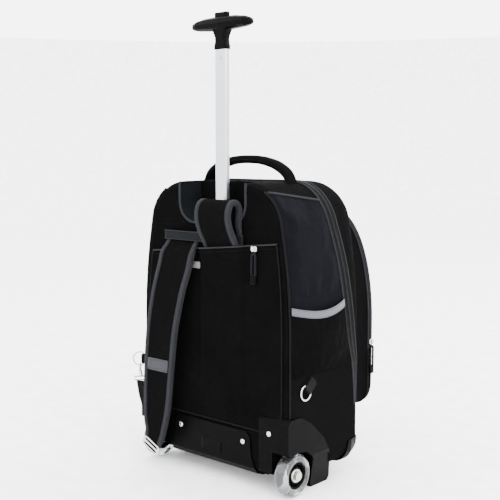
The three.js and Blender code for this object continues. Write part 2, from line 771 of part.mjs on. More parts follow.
function pullHandle() {
  const bay = prismY(bayShape(linerWall), bagBack, bayDepth + linerWall, 4)
    .subtract(prismY(bayShape(0), -far, bayDepth, 4))
    .intersect(block(-far, far, -far, far, 0, bagTop));
  const boreWidth = tubeWidth + 2 * gap;
  const boreThick = tubeThick + 2 * gap;
  const sleeveWidth = boreWidth + 2 * collarWall;
  const sleeveThick = boreThick + 2 * collarWall;
  const ringOf = (width, thick, wall, z0, z1) => {
    const corner = thick * 0.27;
    const hole = prismZ(roundedShape(width, thick, corner), z0 - 1, z1 + 1, 2);
    const body = prismZ(roundedShape(width + 2 * wall, thick + 2 * wall, corner + wall), z0, z1, 2);
    return at(body.subtract(hole), 0, tubeY, 0);
  };

  const floorHole = at(prismZ(roundedShape(sleeveWidth + 2 * gap, sleeveThick + 2 * gap, 4),
    bayFloor - 10, bayFloor + 10), 0, tubeY, 0);
  add('handle_bay', bay.subtract(floorHole), 'slateWeb');

  const seat = bayFloor + gap;
  const flange = ringOf(boreWidth, boreThick, collarWall + collarFlange, seat, seat + collarHeight);
  const sleeve = ringOf(boreWidth, boreThick, collarWall, bayFloor - 22, seat + 1);
  add('tube_collar', flange.add(sleeve), 'plastic');

  const outerTop = bayFloor - linerWall - gap;
  add('outer_tube', ringOf(sleeveWidth + 2 * gap, sleeveThick + 2 * gap, outerTubeWall,
    bagBottom + clothWall + gap, outerTop), 'aluminium');

  const tubeBase = tubeTop - tubeLength;
  const inner = ringOf(tubeWidth - 2 * tubeWall, tubeThick - 2 * tubeWall, tubeWall, tubeBase, tubeTop - gap);
  add('inner_tube', inner, 'aluminium');
  add('tube_plug', ringOf(tubeWidth - 6, tubeThick - 6, (sleeveWidth - tubeWidth + 6) / 2,
    tubeBase - gap - plugLength, tubeBase - gap).intersect(at(prismZ(roundedShape(sleeveWidth, sleeveThick, 4),
    0, tubeTop), 0, tubeY, 0)), 'plastic');
  const face = tubeY - tubeThick / 2;
  const pinZ = tubeTop - pinDrop;
  add('tube_pin', rod(v(0, face - 1.2, pinZ), v(0, face - gap / 3, pinZ), pinRadius), 'steel');

  // Columns of the bar: share of its half length, half depth share, drop of the top and rise of the underside
  const barRows = [
    [-1, 0.3, 11, 8], [-0.94, 0.62, 7, 5.5], [-0.8, 0.85, 3.5, 3.5], [-0.5, 0.95, 1, 2], [0, 1, 0, 0],
    [0.5, 0.95, 1, 2], [0.8, 0.85, 3.5, 3.5], [0.94, 0.62, 7, 5.5], [1, 0.3, 11, 8],
  ];
  const bar = loft(barRows.map(([along, deep, drop, lift]) => {
    const [top, low] = [gripTop - drop, gripBase + lift];
    const ring = [];
    for (let i = 0; i < 10; i += 1) {
      const turn = (i / 10) * 2 * Math.PI;
      const [c, s] = [Math.cos(turn), Math.sin(turn)];
      ring.push(v((along * gripSpan) / 2, tubeY + ((deep * gripDepth) / 2) * Math.sign(c) * Math.abs(c) ** 0.8,
        (top + low) / 2 + ((top - low) / 2) * Math.sign(s) * Math.abs(s) ** 0.8));
    }
    return ring;
  }));
  // Columns of the neck: share of the way up to the bar's middle, width and thickness over the tube's
  const neckRows = [[0, 3, 3], [0.15, 3, 3], [0.4, -1, 3], [0.65, -2, 4], [0.9, 3, 6], [1.2, 10, 8]];
  const neck = loft(neckRows.map(([up, wide, thick]) => {
    const shape = roundedShape(tubeWidth + wide, tubeThick + thick, 4);
    return outlinePoints(shape, 2).map((p) => v(p.x, tubeY + p.y, tubeTop + up * (gripBase - tubeTop)));
  }));
  const pocketOf = (out) => at(prismZ(roundedShape(buttonWidth + 2 * out, buttonDepth + 2 * out, 4 + out),
    gripTop - 4 - buttonTravel - out, gripTop + buttonProud), 0, tubeY, 0);
  const room = pocketOf(gap).add(at(pocketOf(gap), 0, 0, -buttonTravel));
  add('grip', bar.add(neck).subtract(room), 'plastic');
  const crown = roundedShape(buttonDepth, 2 * buttonProud + 16, 3, tubeY, gripTop - 8);
  const crownShape = prismX(crown, -far, far, 3);
  add('grip_button', pocketOf(0).intersect(crownShape), 'plastic');
}

pullHandle();

// Carry handle

// Columns: share of the half span, share of the rise above the bag's crown, share of the full thickness
const carryRows = [
  [-1, -0.3, 0.45], [-0.95, 0.0, 0.6], [-0.86, 0.36, 0.9], [-0.68, 0.68, 1], [-0.42, 0.9, 1], [0, 1, 1],
  [0.42, 0.9, 1], [0.68, 0.68, 1], [0.86, 0.36, 0.9], [0.95, 0.0, 0.6], [1, -0.3, 0.45],
];

// A strap swept along a path: each row has a middle point, the width direction, a width and a thickness
function ribbon(rows) {
  const rings = rows.map((row, i) => {
    const before = rows[Math.max(i - 1, 0)].middle;
    const after = rows[Math.min(i + 1, rows.length - 1)].middle;
    const ahead = after.clone().sub(before).normalize();
    const normal = v(0, 0, 0).crossVectors(row.across, ahead).normalize();
    const across = v(0, 0, 0).crossVectors(ahead, normal).normalize();
    const [w, t] = [row.width / 2, row.thick / 2];
    const bevel = Math.min(t * 0.6, w * 0.4);
    const corner = [[w, -t + bevel], [w, t - bevel], [w - bevel, t], [-w + bevel, t],
      [-w, t - bevel], [-w, -t + bevel], [-w + bevel, -t], [w - bevel, -t]];
    return corner.map(([a, b]) => row.middle.clone().addScaledVector(across, a).addScaledVector(normal, b));
  });
  return loft(rings);
}

function carryHandle() {
  const rise = carryHeight - carryThick / 2;
  const rows = carryRows.map(([along, up, thick]) => ({
    middle: v((along * (carrySpan - carryThick)) / 2, carryY, bagTop + up * rise),
    across: v(0, 1, 0),
    width: carryWidth,
    thick: carryThick * thick,
  }));
  add('grab_handle', ribbon(rows).subtract(nearOutside), 'blackCloth');
}

carryHandle();

// Shoulder straps

// Right strap, folded up into a loop and tucked into the back pocket. Columns: Y, Z, thickness
const rightRows = [
  [1.7, 401, 4], [1.7, 417, 4], [0, 426, 6], [-0.8, 434, 7], [0.2, 444, 8], [1.2, 454, 8], [-2, 463, 8],
  [-10, 468.5, 8], [-19, 465.5, 8], [-24.5, 456, 8], [-25.5, 442, 8], [-21.5, 427, 8], [-14.5, 413, 8],
  [-7.8, 401, 7], [-4.2, 390, 6], [-1.6, 376, 6], [-0.8, 350, 6], [-0.8, 310, 6], [-0.8, 268, 6],
];

// Left strap, hanging in front of the back panel. Columns: Z, stand-off, left edge, right edge, thickness
const leftRows = [
  [415, 2.3, -103, -29, 4], [399, 2.3, -103, -28, 4], [393.5, 6.4, -103, -28, 4.5], [387, 11.5, -103, -27, 6],
  [380, 15, -104, -27, 8], [355, 20, -108, -31, 8], [325, 24.5, -114, -39, 8], [290, 28, -120, -46, 8],
  [250, 31, -125, -53, 8], [205, 33, -128.5, -58, 8], [160, 33.5, -131, -63, 8], [120, 33, -133, -69, 8],
  [85, 31.5, -135, -79, 8], [60, 30, -134, -89, 7], [45, 29, -138, -98, 5],
];

function shoulderStraps() {
  const right = rightRows.map(([y, z, thick]) => ({
    middle: v(rightStrapX, y, z),
    across: v(1, 0, 0),
    width: strapWidth,
    thick: Math.min((thick * strapThick) / 8, thick < 5 ? sewnThick : Infinity),
  }));
  add('strap_right', ribbon(right), 'blackCloth');
  const left = leftRows.map(([z, off, x0, x1, thick]) => ({
    middle: v((x0 + x1) / 2, bagBack - off, z),
    across: v(1, 0, 0),
    width: x1 - x0,
    thick: (thick * strapThick) / 8,
  }));
  add('strap_left', ribbon(left), 'blackCloth');
  const bandBack = bagBack - gap - sewnThick - gap;
  add('strap_band', block(bandLeft, bandRight, bandBack - bandWall, bandBack, bandLow, bandHigh), 'slateWeb');

  const row = leftRows.find(([z]) => z < reflectorHigh + 12);
  const face = bagBack - strapStandOff - (row[4] * strapThick) / 16 - gap - 0.4;
  const tab = block(row[2] + 5, row[3] - 8, face - reflectorWall, face, reflectorLow, reflectorHigh);
  add('strap_tab', tab, 'reflector');
}

shoulderStraps();

// Rings, hook and webbing

// A round wire along a closed flat path, with `normal` square to the path's plane
function wireLoop(path, normal, radius, sides = 6) {
  const rings = path.map((point, i) => {
    const before = path[(i + path.length - 1) % path.length];
    const after = path[(i + 1) % path.length];
    const ahead = after.clone().sub(before).normalize();
    const side = v(0, 0, 0).crossVectors(ahead, normal).normalize();
    return Array.from({ length: sides }, (_, k) => {
      const turn = ((k + 0.5) / sides) * 2 * Math.PI;
      return point.clone().addScaledVector(side, radius * Math.cos(turn))
        .addScaledVector(normal, radius * Math.sin(turn));
    });
  });
  return loft(rings, true);
}

// A D-ring about `centre`: `toTab` points to its straight bar, which lies along `along`
const barReach = 5.5;

function dRing(centre, toTab, along) {
  const normal = v(0, 0, 0).crossVectors(toTab, along).normalize();
  const open = Math.acos(barReach / ringRadius);
  const path = [];
  for (let i = 0; i <= 12; i += 1) {
    const turn = open + (i / 12) * (2 * Math.PI - 2 * open);
    path.push(centre.clone().addScaledVector(toTab, ringRadius * Math.cos(turn))
      .addScaledVector(along, ringRadius * Math.sin(turn)));
  }
  return wireLoop(path, normal, wireRadius);
}

function dRingTab(centre, toTab, along, length) {
  const normal = v(0, 0, 0).crossVectors(toTab, along).normalize();
  const frame = new THREE.Matrix4().makeBasis(toTab, along, normal).setPosition(centre);
  const first = barReach - wireRadius - gap - 1.2;
  const outline = roundedShape(length, ringTabWidth, 2, first + length / 2);
  const tab = prismZ(outline, -ringTabThick / 2, ringTabThick / 2, 2);
  const bar = centre.clone().addScaledVector(toTab, barReach);
  const hole = rod(bar.clone().addScaledVector(along, -far / 4), bar.clone().addScaledVector(along, far / 4),
    wireRadius + gap, 10);
  return tab.transform(frame.elements).subtract(hole);
}

function ringsAndHook() {
  const slope = Math.SQRT1_2;
  const rightSide = bagWidth / 2 + gap + ringTabThick / 2;
  const centre = v(rightSide, ringY, ringHeight);
  const toTab = v(0, slope, slope);
  const along = v(0, -slope, slope);
  add('dring_right', dRing(centre, toTab, along), 'steel');
  add('dring_tab_right', dRingTab(centre, toTab, along, ringTabLength), 'blackCloth');

  const leftCentre = v(-bagWidth / 2 - 15, bagBack + 2, ringHeight + 7);
  const leftTab = v(0.78, 0.6257, 0).normalize();
  const leftAlong = v(0, 0, 1);
  add('dring_left', dRing(leftCentre, leftTab, leftAlong), 'steel');
  add('dring_tab_left', dRingTab(leftCentre, leftTab, leftAlong, ringTabLength).subtract(nearOutside)
    .subtract(backPocketKeep()), 'blackCloth');

  const low = leftCentre.clone().addScaledVector(leftAlong, -ringRadius);
  const loopMiddle = low.clone().add(v(0, 0, 2 * wireRadius + gap - hookRadius));
  const across = v(leftTab.y, -leftTab.x, 0);
  const loop = Array.from({ length: 10 }, (_, i) => {
    const turn = (i / 10) * 2 * Math.PI;
    return loopMiddle.clone().addScaledVector(across, hookRadius * Math.cos(turn))
      .add(v(0, 0, hookRadius * Math.sin(turn)));
  });
  const barrelTop = loopMiddle.clone().add(v(0, 0, -hookRadius));
  const pull = v(0.55, -0.3, -0.78).normalize();
  const barrelLow = barrelTop.clone().addScaledVector(pull, barrelLength);
  const eyeSide = v(0.35, 0.93, 0).cross(pull).normalize().cross(pull).normalize();
  const eyeNormal = v(0, 0, 0).crossVectors(eyeSide, pull).normalize();
  const eye = [[-1, 0], [1, 0], [1, 7], [-1, 7]].map(([side, drop]) => barrelLow.clone()
    .addScaledVector(eyeSide, (side * (webWidth + 6)) / 2).addScaledVector(pull, drop));
  const hook = wireLoop(loop, leftTab, wireRadius)
    .add(rod(barrelTop, barrelLow, barrelRadius, 10))
    .add(wireLoop(eye, eyeNormal, wireRadius));
  add('snap_hook', hook, 'steel');

  // The webbing runs from the hook's eye to the slider under the end of the strap
  const last = leftRows[leftRows.length - 1];
  const strapEnd = v((last[2] + last[3]) / 2, bagBack - last[1], last[0]);
  const sliderSide = v(0.9, 0, -0.42).normalize();
  const sliderDown = v(-0.42, 0, -0.9).normalize();
  const sliderFace = v(0, 0, 0).crossVectors(sliderSide, sliderDown);
  const sliderMiddle = strapEnd.clone().addScaledVector(sliderDown, buckleHeight / 2 + 2 * gap);
  const sliderFrame = new THREE.Matrix4().makeBasis(sliderSide, sliderDown, sliderFace)
    .setPosition(sliderMiddle);
  const slotOf = (middle) => prismZ(roundedShape(0.8 * buckleWidth, buckleHeight / 4, 1.5, 0, middle),
    -buckleThick, buckleThick, 2);
  const buckle = prismZ(roundedShape(buckleWidth, buckleHeight, 3), -buckleThick / 2, buckleThick / 2, 2)
    .subtract(slotOf(-0.22 * buckleHeight)).subtract(slotOf(0.22 * buckleHeight));
  add('strap_slider', buckle.transform(sliderFrame.elements), 'steel');

  const eyeBar = barrelLow.clone().addScaledVector(pull, 7 + wireRadius + gap + 0.6);
  const under = (buckleThick + webThick) / 2 + 2 * gap;
  // Columns: share of the way from the hook to the slider, then X and Y off that line in webbing widths
  const sag = [[0.16, 0.46, -0.38], [0.39, 0.37, -0.22], [0.67, 0.24, 0.04], [0.8, 0.69, 0.06]];
  const webRows = [
    eyeBar,
    ...sag.map(([share, x, y]) => eyeBar.clone().lerp(sliderMiddle, share)
      .add(v(x * webWidth, y * webWidth, 0))),
    sliderMiddle.clone().add(v(0, under, webWidth / 5)),
    sliderMiddle.clone().add(v(-webWidth / 7, under, -0.4 * webWidth)),
  ].map((middle, i) => ({
    middle,
    across: i === 0 ? eyeSide.clone().negate() : sliderSide,
    width: webWidth,
    thick: webThick,
  }));
  add('lower_webbing', ribbon(webRows), 'blackCloth');
}

// The room that the back pocket and the band keep free of the left ring's tab
function backPocketKeep() {
  return block(-sideAt(ringHeight) + backRound, far, -far, bagBack, 0, bagTop);
}

ringsAndHook();

// Wheels, housings, plate and guards

function wheelsAndBase() {
  both('wheel_housing', wheelHousing(), 'plastic');

  const half = wheelWidth / 2;
  const tyreProfile = [
    [tyreBore, -half * 0.8], [wheelRadius - 7, -half], [wheelRadius - 2.2, -half * 0.68],
    [wheelRadius, -half * 0.25], [wheelRadius, half * 0.25], [wheelRadius - 2.2, half * 0.68],
    [wheelRadius - 7, half], [tyreBore, half * 0.8], [tyreBore, -half * 0.8],
  ];
  both('tyre', at(turnedX(tyreProfile, 24), wheelX, wheelY, wheelRadius), 'clearTyre');

  const rim = tyreBore - gap;
  const hubBore = bearingRadius + gap;
  const hubProfile = [
    [hubBore, -half * 0.85], [hubBore + 2.5, -half * 0.85], [hubBore + 4, -half * 0.45],
    [rim - 2.5, -half * 0.45], [rim, -half * 0.75], [rim, half * 0.75], [rim - 2.5, half * 0.45],
    [hubBore + 4, half * 0.45], [hubBore + 2.5, half * 0.85], [hubBore, half * 0.85],
    [hubBore, -half * 0.85],
  ];
  both('hub', at(turnedX(hubProfile, 16), wheelX, wheelY, wheelRadius), 'plastic');
  const axleBore = axleRadius + runningGap;
  const bearingProfile = [[axleBore, -half * 0.9], [bearingRadius, -half * 0.9], [bearingRadius, half * 0.9],
    [axleBore, half * 0.9], [axleBore, -half * 0.9]];
  both('bearing', at(turnedX(bearingProfile, 16), wheelX, wheelY, wheelRadius), 'steel');
  const headFrom = wheelX + half * 0.9 + gap;
  const shaft = rod(v(axleFrom, wheelY, wheelRadius), v(headFrom + 1, wheelY, wheelRadius), axleRadius);
  both('axle', shaft.add(rod(v(headFrom, wheelY, wheelRadius), v(headFrom + 3, wheelY, wheelRadius), axleHead)),
    'steel');

  const plateHalf = plateTopWidth / 2;
  const plateOutline = shapeOf([
    [-plateHalf + 8, plateTop], [-plateHalf, plateTop - 9], [-plateHalf - 2, plateTop - 38],
    [-plateBaseWidth / 2, bagBottom - 10], [plateBaseWidth / 2, bagBottom - 10],
    [plateHalf + 2, plateTop - 38], [plateHalf, plateTop - 9], [plateHalf - 8, plateTop],
  ]);
  const plateRivet = rod(v(plateRivetX, bagBack - gap - plateWall - rivetProud, plateRivetZ),
    v(plateRivetX, bagBack - gap - plateWall - gap, plateRivetZ), rivetRadius);
  const housingRivet = rod(v(housingRivetX, housingBack - gap - rivetProud, housingRivetZ),
    v(housingRivetX, housingBack - gap, housingRivetZ), rivetRadius);
  const shellOver = (wall) => bagSolid(gap + wall).subtract(nearOutside);
  const kickPlate = shellOver(plateWall).intersect(prismY(plateOutline, -far, bagBack + backRound + 14));
  add('kick_plate', kickPlate, 'plastic');
  both('kick_rivet', plateRivet, 'steel');
  both('housing_rivet', housingRivet, 'steel');

  const guardSide = prismX(shapeOf([
    [bagFront - 0.84 * guardLength, guardTop], [far, guardTop], [far, bagBottom - frontRound],
    [bagFront - guardLength, bagBottom - frontRound], [bagFront - guardLength, bagBottom + gap],
  ]), bagWidth / 2 - 0.65 * guardLength, far);
  both('corner_guard', shellOver(guardWall).intersect(guardSide), 'plastic');
}

wheelsAndBase();

group.updateMatrixWorld(true);
const bounds = new THREE.Box3().setFromObject(group, true);
group.position.set(-(bounds.min.x + bounds.max.x) / 2, -(bounds.min.y + bounds.max.y) / 2, -bounds.min.z);
group.updateMatrixWorld(true);

export default group;
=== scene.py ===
"""Cloth, webbing, zips, plastics and metal for a wheeled backpack, built around its fixed frame.

Lengths are in metres. The bag's own frame has X to its right wheel, Y from the back panel to the front
pocket and Z up from the floor; `ORIGIN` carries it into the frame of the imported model.
"""

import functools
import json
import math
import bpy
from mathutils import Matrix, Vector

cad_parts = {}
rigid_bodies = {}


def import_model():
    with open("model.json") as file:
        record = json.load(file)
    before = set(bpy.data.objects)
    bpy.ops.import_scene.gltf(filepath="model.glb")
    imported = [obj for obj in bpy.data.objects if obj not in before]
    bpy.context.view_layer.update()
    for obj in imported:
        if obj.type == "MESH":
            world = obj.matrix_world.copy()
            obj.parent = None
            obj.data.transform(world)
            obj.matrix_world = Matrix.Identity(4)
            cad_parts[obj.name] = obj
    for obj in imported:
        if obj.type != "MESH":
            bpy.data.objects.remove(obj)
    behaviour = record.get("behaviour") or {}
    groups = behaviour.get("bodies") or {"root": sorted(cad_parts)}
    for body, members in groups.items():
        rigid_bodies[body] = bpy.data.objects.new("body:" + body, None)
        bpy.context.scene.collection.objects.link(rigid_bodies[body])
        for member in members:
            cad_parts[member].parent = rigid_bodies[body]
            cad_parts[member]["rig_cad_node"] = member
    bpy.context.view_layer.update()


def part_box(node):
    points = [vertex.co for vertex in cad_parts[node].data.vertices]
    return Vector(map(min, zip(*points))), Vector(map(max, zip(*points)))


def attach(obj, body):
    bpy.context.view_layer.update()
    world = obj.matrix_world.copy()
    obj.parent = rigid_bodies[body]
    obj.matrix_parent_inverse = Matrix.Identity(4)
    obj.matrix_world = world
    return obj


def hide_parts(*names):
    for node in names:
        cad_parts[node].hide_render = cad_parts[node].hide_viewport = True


bl_info = {
    "name": "Wheeled Backpack",
    "version": (1, 0, 0),
    "blender": (4, 5, 0),
    "location": "View3D > Sidebar > Backpack",
    "description": "Dresses the frame of a wheeled backpack in cloth, webbing, zips, plastic and metal",
    "category": "Add Mesh",
}

import bmesh
import bpy
import numpy as np
from mathutils import Vector, noise

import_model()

MM = 0.001
WELD = 0.00002
CLOTH = 2 * MM
POCKET_CLOTH = 1.8 * MM
MESH_CLOTH = 1.6 * MM
SIDES = {"right": 1, "left": -1}
MIRROR = np.array([-1.0, 1.0, 1.0])


def low(node):
    """The lowest corner of a piece of the frame."""
    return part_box(node)[0]


def high(node):
    """The highest corner of a piece of the frame."""
    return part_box(node)[1]


BACK = 4 * MM
ORIGIN = np.array([(low("tyre_right").x + high("tyre_left").x) / 2, low("back_panel").y - BACK, 0.0])

# The main bag
HALF = high("side_panel_right").x - ORIGIN[0]
TOP = high("top_panel").z
BASE = low("base_panel").z
FRONT = high("front_panel").y - ORIGIN[1]
SHOULDER = (149.5 * MM, 438 * MM)
CROWN = 75 * MM
WAIST = 240 * MM
BASE_CORNER = 30 * MM
BACK_ROUND = 14 * MM
FRONT_ROUND = 45 * MM
BASE_SEAM = high("base_panel").z
SEAM_BACK = high("side_panel_right").z
SEAM_FRONT = low("top_panel").z
JOIN_TOP = 114 * MM
JOIN_BASE = 182 * MM
ZIP_BAND = 22 * MM
ZIP_TAPER = 8 * MM
ZIP_END = low("main_zipper").z
# Columns: share of the height from base to top, share of the way back from JOIN_BASE to JOIN_TOP
JOIN_SHARES = [(0, 0), (0.32, 0.2), (0.475, 0.47), (0.6, 0.6), (0.7, 0.69), (0.8, 0.81), (0.885, 0.93),
               (0.94, 0.985), (1, 1)]

SEAM_OFF_BACK = 2.6 * MM
PIPING_OFF_BACK = 3 * MM
BACK_PIPING_BASE = 128 * MM
SPINE_LOW, SPINE_HIGH = 190 * MM, 380 * MM

# The front pocket
POCKET_HALF = high("pocket_gusset").x - ORIGIN[0]
POCKET_TOP = high("pocket_gusset").z
POCKET_BASE = low("pocket_gusset").z
POCKET_CROWN = 50 * MM
POCKET_SHOULDER = 250 * MM
POCKET_CORNER = 35 * MM
POCKET_FRONT = high("pocket_front").y - ORIGIN[1]
POCKET_ROUND = 25 * MM
POCKET_ZIP_REAR = low("pocket_zipper").y - ORIGIN[1]
POCKET_ZIP_FRONT = high("pocket_zipper").y - ORIGIN[1]
POCKET_ZIP_END = low("pocket_zipper").z
POCKET_SPINE = 120 * MM

# The side pockets
SIDE_POCKET_BASE = low("side_pocket_right").z
SIDE_POCKET_MOUTH = high("side_pocket_right").z

# The handle bay
BAY_HALF = 75 * MM
BAY_FLOOR = 431 * MM
BAY_DEPTH = 56 * MM
BAY_CORNER = 35 * MM


# Lines and curves

def path_lengths(points):
    """How far along a line each of its points lies."""
    return np.concatenate([[0.0], np.cumsum(np.linalg.norm(np.diff(points, axis=0), axis=1))])


def resampled(points, count):
    """Evenly spaced points on a line."""
    points = np.asarray(points, float)
    lengths = path_lengths(points)
    at = np.linspace(0, lengths[-1], count)
    return np.stack([np.interp(at, lengths, points[:, k]) for k in range(points.shape[1])], axis=1)


def smooth_line(points, count):
    """Evenly spaced points on a smooth line through the given ones."""
    points = np.asarray(points, float)
    at = path_lengths(points)
    slopes = np.gradient(points, at, axis=0)
    fine = np.linspace(0, at[-1], 12 * len(points))
    i = np.clip(np.searchsorted(at, fine) - 1, 0, len(at) - 2)
    span = (at[i + 1] - at[i])[:, None]
    s = (fine - at[i])[:, None] / span
    line = ((2 * s**3 - 3 * s**2 + 1) * points[i] + (s**3 - 2 * s**2 + s) * span * slopes[i]
            + (3 * s**2 - 2 * s**3) * points[i + 1] + (s**3 - s**2) * span * slopes[i + 1])
    return resampled(line, count)


def bezier(controls, count):
    """Points of a Bezier curve of any degree."""
    controls = np.asarray(controls, float)
    degree = len(controls) - 1
    t = np.linspace(0, 1, count)[:, None]
    return sum(math.comb(degree, k) * (1 - t) ** (degree - k) * t**k * controls[k] for k in range(degree + 1))


def at_depth(x, y, z):
    """Points at X and Z with one depth."""
    return np.stack([x, 0 * x + y, z], axis=1)


def joined(*stretches):
    """One line from stretches that follow each other."""
    return np.vstack([s[:-1] for s in stretches[:-1]] + [stretches[-1]])


def rows_between(start, stop, count):
    """Rows from one line to another, without the first."""
    return np.array([start * (1 - t) + stop * t for t in np.linspace(0, 1, count)[1:]])


def smoothstep(t):
    t = np.clip(t, 0, 1)
    return t * t * (3 - 2 * t)


def unit(vectors):
    return vectors / np.maximum(np.linalg.norm(vectors, axis=-1, keepdims=True), 1e-12)


# Sections of cords, straps and bands, as (sideways, outwards)

def round_section(radius, sides=12):
    turn = np.linspace(0, 2 * math.pi, sides, endpoint=False)
    return radius * np.stack([np.cos(turn), np.sin(turn)], axis=1)


def soft_section(width, thick, power=4.0, count=28):
    """A flat section with round edges."""
    turn = np.linspace(0, 2 * math.pi, count, endpoint=False)
    c, s = np.cos(turn), np.sin(turn)
    return np.stack([width / 2 * np.sign(c) * np.abs(c) ** (2 / power),
                     thick / 2 * np.sign(s) * np.abs(s) ** (2 / power)], axis=1)


# Meshes

def mesh_object(name, vertices, faces, uvs=None):
    """A smooth object from points in the bag's own frame."""
    mesh = bpy.data.meshes.new(name)
    mesh.from_pydata((np.asarray(vertices) + ORIGIN).tolist(), [], faces)
    if uvs is not None:
        layer = mesh.uv_layers.new(name="Cloth")
        corners = np.empty(len(mesh.loops), np.int32)
        mesh.loops.foreach_get("vertex_index", corners)
        layer.data.foreach_set("uv", np.asarray(uvs, np.float32)[corners].ravel())
    mesh.shade_smooth()
    made = bpy.data.objects.new(name, mesh)
    bpy.context.scene.collection.objects.link(made)
    return made


def grid_object(name, grid):
    """A sheet over a grid of points, with texture coordinates in metres along it. Its rows crossed with its
    columns point outwards."""
    rows, columns = grid.shape[:2]
    index = np.arange(rows * columns).reshape(rows, columns)
    faces = np.stack([index[:-1, :-1], index[1:, :-1], index[1:, 1:], index[:-1, 1:]], axis=-1).reshape(-1, 4)
    across = np.array([path_lengths(row) for row in grid])
    along = np.array([path_lengths(column) for column in grid.transpose(1, 0, 2)]).T
    uvs = np.stack([across, along], axis=-1).reshape(-1, 2)
    return mesh_object(name, grid.reshape(-1, 3), faces.tolist(), uvs)


def swept(name, path, section, outward=None, widths=None, thicks=None):
    """A section carried along a path. `outward` gives the section's second direction at each point."""
    path = np.asarray(path, float)
    ahead = unit(np.gradient(path, axis=0))
    if outward is None:
        outward = np.zeros_like(path)
        outward[0] = unit(np.cross(ahead[0], [0.31, 0.57, 0.76]))
        for i in range(1, len(path)):
            outward[i] = unit(outward[i - 1] - np.dot(outward[i - 1], ahead[i]) * ahead[i])
    else:
        outward = np.broadcast_to(np.asarray(outward, float), path.shape)
        outward = unit(outward - np.sum(outward * ahead, axis=1, keepdims=True) * ahead)
    side = np.cross(ahead, outward)
    widths = np.ones(len(path)) if widths is None else np.asarray(widths)
    thicks = np.ones(len(path)) if thicks is None else np.asarray(thicks)
    rings = (path[:, None] + section[None, :, :1] * widths[:, None, None] * side[:, None]
             + section[None, :, 1:] * thicks[:, None, None] * outward[:, None])
    count = len(section)
    faces = []
    for r in range(len(path) - 1):
        for c in range(count):
            d = (c + 1) % count
            faces.append((r * count + c, (r + 1) * count + c, (r + 1) * count + d, r * count + d))
    faces.append(tuple(range(count)))
    faces.append(tuple((len(path) - 1) * count + c for c in range(count - 1, -1, -1)))
    uvs = np.stack(np.meshgrid(path_lengths(section), path_lengths(path)), axis=-1).reshape(-1, 2)
    return mesh_object(name, rings.reshape(-1, 3), faces, uvs)


def rows_of(name, path, outward, length, radius, pitch, crosswise=False, flat=1.0):
    """Many short round bars along a path: stitches, or the teeth of a zip where they lie crosswise."""
    count = max(int(path_lengths(path)[-1] / pitch), 2)
    spots = resampled(path, count)
    out = unit(resampled(np.broadcast_to(outward, np.shape(path)), count))
    ahead = unit(np.gradient(spots, axis=0))
    out = unit(out - np.sum(out * ahead, axis=1, keepdims=True) * ahead)
    side = np.cross(ahead, out)
    long, wide = (side, ahead) if crosswise else (ahead, -side)
    turn = np.linspace(0, 2 * math.pi, 6, endpoint=False)
    stations = [(-0.5, 0.35), (-0.36, 1.0), (0.36, 1.0), (0.5, 0.35)]
    bar = np.array([(length * x, radius * r * math.cos(a), radius * flat * r * math.sin(a))
                    for x, r in stations for a in turn])
    vertices = (spots[:, None] + bar[None, :, :1] * long[:, None] + bar[None, :, 1:2] * wide[:, None]
                + bar[None, :, 2:] * out[:, None])
    one = [(s * 6 + k, s * 6 + (k + 1) % 6, (s + 1) * 6 + (k + 1) % 6, (s + 1) * 6 + k)
           for s in range(3) for k in range(6)] + [(5, 4, 3, 2, 1, 0), (18, 19, 20, 21, 22, 23)]
    faces = [tuple(v + i * 24 for v in face) for i in range(count) for face in one]
    return mesh_object(name, vertices.reshape(-1, 3), faces)


def turned(name, profile, centre, axis="X", steps=72):
    """A closed profile of (radius, along the axis) turned about an axis through the centre."""
    profile = np.asarray(profile, float)
    turn = np.linspace(0, 2 * math.pi, steps, endpoint=False)
    first, second, along = {"X": (1, 2, 0), "Y": (2, 0, 1)}[axis]
    rings = np.zeros((steps, len(profile), 3))
    rings[..., first] = profile[:, 0] * np.cos(turn)[:, None]
    rings[..., second] = profile[:, 0] * np.sin(turn)[:, None]
    rings[..., along] = profile[:, 1]
    count = len(profile)
    faces = [(s * count + c, s * count + (c + 1) % count, (s + 1) % steps * count + (c + 1) % count,
              (s + 1) % steps * count + c) for s in range(steps) for c in range(count)]
    return tidied(mesh_object(name, rings.reshape(-1, 3) + np.asarray(centre), faces), solid=True)


def tidied(made, solid=False):
    """Welds points that coincide, and turns every face of a closed solid outwards."""
    shape = bmesh.new()
    shape.from_mesh(made.data)
    bmesh.ops.remove_doubles(shape, verts=shape.verts, dist=WELD)
    if solid:
        bmesh.ops.recalc_face_normals(shape, faces=shape.faces)
    shape.to_mesh(made.data)
    shape.free()
    return made


def cut_away(made, inside):
    """Deletes the faces that lie wholly where `inside` says, in the bag's own frame."""
    shape = bmesh.new()
    shape.from_mesh(made.data)
    gone = [f for f in shape.faces if all(inside(np.array(v.co) - ORIGIN) for v in f.verts)]
    bmesh.ops.delete(shape, geom=gone, context="FACES")
    shape.to_mesh(made.data)
    shape.free()
    return made


def modifier(made, kind, **settings):
    """Adds a modifier with its settings."""
    added = made.modifiers.new(kind.title(), kind)
    for name, value in settings.items():
        setattr(added, name, value)
    return made


def thickened(made, thick, subdivide=1):
    """Gives a sheet its thickness, inwards, and finer faces."""
    if subdivide:
        modifier(made, "SUBSURF", levels=subdivide, render_levels=subdivide)
    return modifier(made, "SOLIDIFY", thickness=thick, offset=-1.0)


def softened(made, voxel, smoothing=6):
    """Rounds every edge of a hard piece by a fine remesh."""
    modifier(made, "REMESH", mode="VOXEL", voxel_size=voxel, use_smooth_shade=True)
    return modifier(made, "SMOOTH", factor=0.5, iterations=smoothing)


def grid_normals(grid):
    return unit(np.cross(np.gradient(grid, axis=0), np.gradient(grid, axis=1)))


